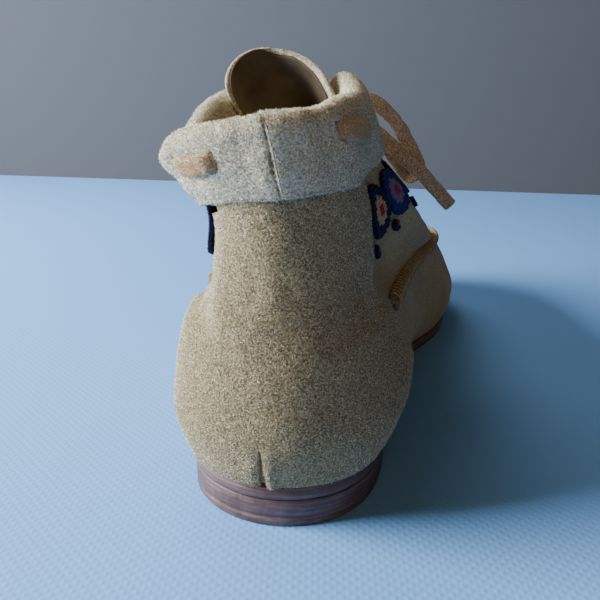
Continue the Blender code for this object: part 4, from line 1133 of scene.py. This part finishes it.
def cuff_column(turn, up, top_up, rows):
    """The middle of the cuff's wall at one turn, from its lip inside over the rim to the hem."""
    dip = float(collar_dip(turn))
    drop = CUFF_HEIGHT - dip
    inside = -(UPPER_WALL + CUFF_CLEAR + CUFF_THICKNESS / 2 + up)
    outside = CUFF_STAND + up
    half_way = (inside + outside) / 2
    top = -(CUFF_CLEAR + CUFF_THICKNESS / 2 + top_up)
    flare = float(cuff_flare(turn))
    curl = FRONT_CURL * float(bell(math.degrees(turn), 128, 17))
    lift = 3.2 * max(flare, 0)
    down = (CUFF_LIP, GAP, top * 0.95, top * 1.25, top * 0.9, 0.05 * drop, 0.40 * drop, 0.72 * drop, drop)
    down = np.array(down) - curl * np.array((0, 0.4, 0.8, 1, 1, 1, 0.9, 0.8, 0.7))
    down = through(down - lift * np.array((0, 0.3, 0.8, 1, 1, 0.9, 0.4, 0.1, 0)), rows)
    out = (
        inside, inside, inside * 0.55 + half_way * 0.45, half_way, half_way * 0.4 + outside * 0.6,
        outside, outside + 0.01 * CUFF_HEIGHT, outside, outside - 0.06 * CUFF_HEIGHT,
    )
    out = through(np.array(out) + flare * np.array((0, 0.5, 1.0, 1.4, 1.6, 1.3, 0.1, 0, 0)), rows)
    near_rear = max(1 - abs(turn - CUFF_REAR) / math.radians(40), 0)
    lean = CUFF_SLANT * np.maximum(down, 0) / CUFF_HEIGHT
    lean = lean + np.array([noise.noise(Vector((row * 0.5, 7.3, 0))) for row in rows])
    wave = 0.5 * noise.noise(Vector((turn * 5, 1.7, 0))) + 0.25 * noise.noise(Vector((turn * 17, 0, 4)))
    down = down + wave * MM * np.clip((rows - 6) / 2, 0, 1)
    levels = level_below(turn, COLLAR, dip + np.maximum(down, 0))
    rim = float(level_below(turn, COLLAR, dip))
    rise = on_last(turn, rim, out) - on_last(turn, rim - 0.2, out)
    rise /= np.linalg.norm(rise, axis=1, keepdims=True)
    return on_last(turn + np.radians(lean) * near_rear, levels, out) + rise * np.maximum(-down, 0)[:, None]


# Brushing raises a pale, thick nap that catches the light at every edge.
cuff_suede = suede("brushed_thick_cuff_suede", CUFF_SUEDE, 0.6 * MM, 0.75 * MM)
crossings = [edge for window in LACE_WINDOWS for edge in window]
crossings += [LACE_FRONT - LACE_RAMP / 2, LACE_RAMP / 2 - LACE_FRONT]
lap = CUFF_LAP / (0.42 * HEEL_WIDTH)
spread = shares(230, CUFF_ROUND, CUFF_THICKNESS)
down_share = shares(78, CUFF_TALL, CUFF_THICKNESS)
across, down = np.meshgrid(spread, down_share)
keep = edged(across, CUFF_ROUND, CUFF_THICKNESS) * edged(down, CUFF_TALL, CUFF_THICKNESS)
for side, name in ((-1, "lateral"), (1, "medial")):
    first = CUFF_REAR if side > 0 else CUFF_REAR + lap
    turns = first + (side * CUFF_FRONT - first) * spread
    raised = 0 * turns
    crest = -ease((turns - CUFF_REAR) / (0.5 * lap)) * 1.5 * MM
    if side > 0:
        raised = (CUFF_THICKNESS + 2 * GAP) * (1 - ease((turns - CUFF_REAR) / (lap * 1.2) - 1))
        crest = 0.35 * raised
    columns = [cuff_column(*place, down_share * 8) for place in zip(turns, raised, crest)]
    middle = np.stack(columns, axis=1)
    waves = ((11, 0.6), (3.5, 0.3), (1.5, 0.15))
    soft = sum(swell(middle, width * MM, height * MM) for width, height in waves)
    soft = soft * (0.4 + 0.6 * ease((down - 0.45) * 4))
    if side < 0:
        odd = np.array([noise.noise(Vector((share * 14, 3.1, 0))) for share in down_share])[:, None]
        beside = (CUFF_REAR - turns) * HEEL_WIDTH * 0.42 / MM - 0.35 + 0.5 * odd
        soft = soft + np.where(beside > 0, bell(beside, 0, 3.2), 0) * 1.7 * MM * ease((down - 0.35) * 5)
    direction = grid_normals(middle) * (-side * (keep > 0))[..., None]
    outer = middle + direction * (soft + keep * CUFF_THICKNESS / 2)[..., None]
    inner = middle + direction * (soft * 0.8 - keep * CUFF_THICKNESS / 2)[..., None]
    turn_mid = (turns[1:] + turns[:-1]) / 2
    row_mid = (down_share[1:] + down_share[:-1]) / 2 * 8
    holes = np.zeros((len(down_share) - 1, len(turns) - 1), bool)
    for place in [math.radians(edge) for edge in crossings if np.sign(edge) == side]:
        dip = collar_dip(place)
        drop = CUFF_HEIGHT - dip
        down_mid = dip + through((0, 0, 0, 0, 0, 0.05 * drop, 0.40 * drop, 0.72 * drop, drop), row_mid)
        tall = np.abs(down_mid - lace_drop(place)) < LACE_WIDTH / 2 + 0.2 * MM
        wide = np.abs(turn_mid - place) * SLIT_ROUND < SLIT_HALF
        holes |= (tall & (row_mid > 5))[:, None] & wide[None, :]
    sheet = walls(outer, inner, holes) if side < 0 else walls(inner, outer, holes)
    cuff = made_from(f"cuff_{name}_suede", [sheet], cuff_suede)
    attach(cuff, "root")
    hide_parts(f"cuff_{name}")
    faces = grid_faces(*outer.shape[:2], flip=side > 0, holes=holes)
    nap(f"cuff_{name}_nap", outer, faces, cuff_fibres, (9e6, 1.0 * MM, 0.10 * MM), "cuff_suede")
    hem_far = (1 - (down[1:, 1:] + down[:-1, :-1]) / 2) * CUFF_TALL > HEM_RAW
    for face, where in ((outer, "outer"), (inner, "inner")):
        flip = (side > 0) != (where == "inner")
        faces = grid_faces(*face.shape[:2], flip=flip, holes=hem_far)
        fibres = (18e6, 1.2 * MM, 0.09 * MM)
        nap(f"cuff_{name}_edge_nap_{where}", face, faces, cuff_fibres, fibres, "cuff_suede")


# The lace
# One flat suede lace runs round the collar in and out of the cuff's slits, and is tied in front
# in a bow with two loops and two square-cut ends.
KNOT_PLACE = on_last(math.pi, COLLAR) + np.array((6, 15.5, -11)) * MM
KNOT_SIDE = 6.3
KNOT_BAND = np.array((
    (-2.6, -0.4), (-2.7, 0.3), (-1.8, 0.72), (0, 0.85), (1.8, 0.72), (2.7, 0.3), (2.6, -0.4),
))
LACE_END = 164
LACE_RING = 20
FREE_WIDTH = 5.6 * MM
# Suede stops: painted shade between the tufts, the lace's own colour, painted light at their tips.
LACE_SUEDE = ("#86684C", "#BEA07C", "#E0CAA8")
LOOP_FACING = (0.0, -1.0, 0.25)
END_FACING = (-0.35, -0.8, 0.5)
# The free strands' ways from the knot, in mm.
LACE_ROUTES = {
    "lace_loop_medial": (
        (6, 1, 3), (12, 2, 8), (20, 4, 6), (28, 8, -2), (35, 12, -14), (37, 13.5, -20),
        (33, 14.5, -23), (28, 13, -17), (21, 10, -8), (13, 7, -3), (7, 5, -2),
    ),
    "lace_end_medial": (
        (6, -1.5, -4), (14, 0, -2), (22, 3, -6), (30, 3, -13), (38, 6, -20), (45, 11, -28), (51, 16, -35),
    ),
    "lace_loop_lateral": (
        (-6, 1, 3), (-12, 2, 7), (-20, 4, 5), (-28, 7, -3), (-34, 10, -14), (-36, 12, -20),
        (-32, 14, -23), (-27, 13, -17), (-20, 10, -9), (-13, 7, -4), (-7, 5, -2),
    ),
    "lace_end_lateral": (
        (-6, -1.5, -4), (-14, 1, -5), (-22, 4, -10), (-29, 8, -19), (-34, 12, -30), (-37, 16, -42),
    ),
}
# A lace is cut from split suede: fluffy on both sides, and redder than the boot.
lace_suede = suede("flat_suede_lace", LACE_SUEDE, 0.6 * MM, 0.4 * MM)


def strap(name, path, facing, width):
    """A flat lace along a path, its broad side turned to face the way it is told at each point."""
    along = np.gradient(path, axis=0)
    along /= np.linalg.norm(along, axis=1, keepdims=True)
    broad = facing - along * np.sum(facing * along, axis=1, keepdims=True)
    broad /= np.linalg.norm(broad, axis=1, keepdims=True)
    across = np.cross(along, broad)
    angles = np.linspace(0, 2 * math.pi, LACE_RING, endpoint=False)
    side = np.sign(np.cos(angles)) * np.abs(np.cos(angles)) ** 0.65 / 2
    height = np.sign(np.sin(angles)) * np.abs(np.sin(angles)) ** 0.7 * LACE_THICKNESS / 2
    shrink = np.ones(len(path))
    shrink[[0, -1]] = 0.82
    rings = path[:, None] + across[:, None] * side[None, :, None] * (shrink * width)[:, None, None]
    rings = rings + broad[:, None] * height[None, :, None] * shrink[:, None, None]
    sideways = across[:, None] * np.sign(side)[None, :, None]
    rings = rings + sideways * swell(rings, 3 * MM, 0.35 * MM)[..., None]
    rings = rings + broad[:, None] * swell(rings, 5 * MM, 0.3 * MM)[..., None]
    made = mesh_object(name, rings.reshape(-1, 3), rod_faces(*rings.shape[:2]), lace_suede)
    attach(made, "root")
    return made


run_turns = np.radians(np.linspace(-LACE_END, LACE_END, 620))
run_levels = levels_below(run_turns, COLLAR, lace_drop(run_turns))
round_collar = on_last(run_turns, run_levels, lace_out(run_turns))
collar_facing = round_collar - on_last(run_turns, run_levels)
bridges = []
for step, side in ((0, -1), (-1, 1)):
    target = KNOT_PLACE + np.array((side * KNOT_SIDE, 0, 0)) * MM
    share = np.linspace(1, 0, 16)[:-1]
    bridge = round_collar[step] + (target - round_collar[step]) * share[:, None]
    bridges.append(bridge if side < 0 else bridge[::-1])
before = len(bridges[0])
run_path = np.concatenate([bridges[0], round_collar, bridges[1]])
run_facing = np.pad(collar_facing, ((before, before), (0, 0)), mode="edge")
run_width = np.ones(len(run_path))
shown = np.zeros(len(run_path), bool)
places = np.degrees(run_turns)
for low, high in LACE_WINDOWS:
    from_middle = np.minimum(np.abs(places - (low + high) / 2) / ((high - low) / 2 + 2), 1)
    narrow = np.where(from_middle < 1, 0.55 + 0.45 * np.sqrt(1 - from_middle**4), 1)
    run_width[before:before + len(places)] *= narrow
    first, stop = np.searchsorted(places, (low - 3, high + 3)) + before
    shown[first:stop] = True
lace_run = strap("lace_run_suede", run_path, run_facing, LACE_WIDTH * run_width)
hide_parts("lace_run")
lace_fibres = fibre_kind("loose_lace_fibres", LACE_SUEDE[1:], "lace_nap", 37)
points = np.array([tuple(vertex.co) for vertex in lace_run.data.vertices])
faces = [tuple(face.vertices) for face in lace_run.data.polygons if shown[face.vertices[0] // LACE_RING]]
nap("lace_run_nap", points, faces, lace_fibres, (26e6, 1.1 * MM, 0.09 * MM), "lace_suede")

wrap = np.linspace(0, 2 * math.pi, 60, endpoint=False)
knot_out = np.stack([0 * wrap, np.cos(wrap), np.sin(wrap)], axis=1)[:, None]
knot_band = KNOT_BAND[:, :1] * np.array((1, 0, 0)) + knot_out * (0, 3.0, 4.0) + knot_out * KNOT_BAND[:, 1:]
rings = KNOT_PLACE + knot_band * MM
rings = rings + swell(rings, 3 * MM, 0.4 * MM)[..., None] * knot_out
faces = ring_faces(*rings.shape[:2], looped=True)
knot = mesh_object("lace_knot_suede", rings.reshape(-1, 3), faces, lace_suede)
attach(knot, "root")
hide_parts("lace_knot")

for name, route in LACE_ROUTES.items():
    path = KNOT_PLACE + through(route, np.linspace(0, len(route) - 1, (len(route) - 1) * 14 + 1)) * MM
    ending = "end" in name
    piece = strap(f"{name}_suede", path, np.array(END_FACING if ending else LOOP_FACING), FREE_WIDTH)
    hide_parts(name)
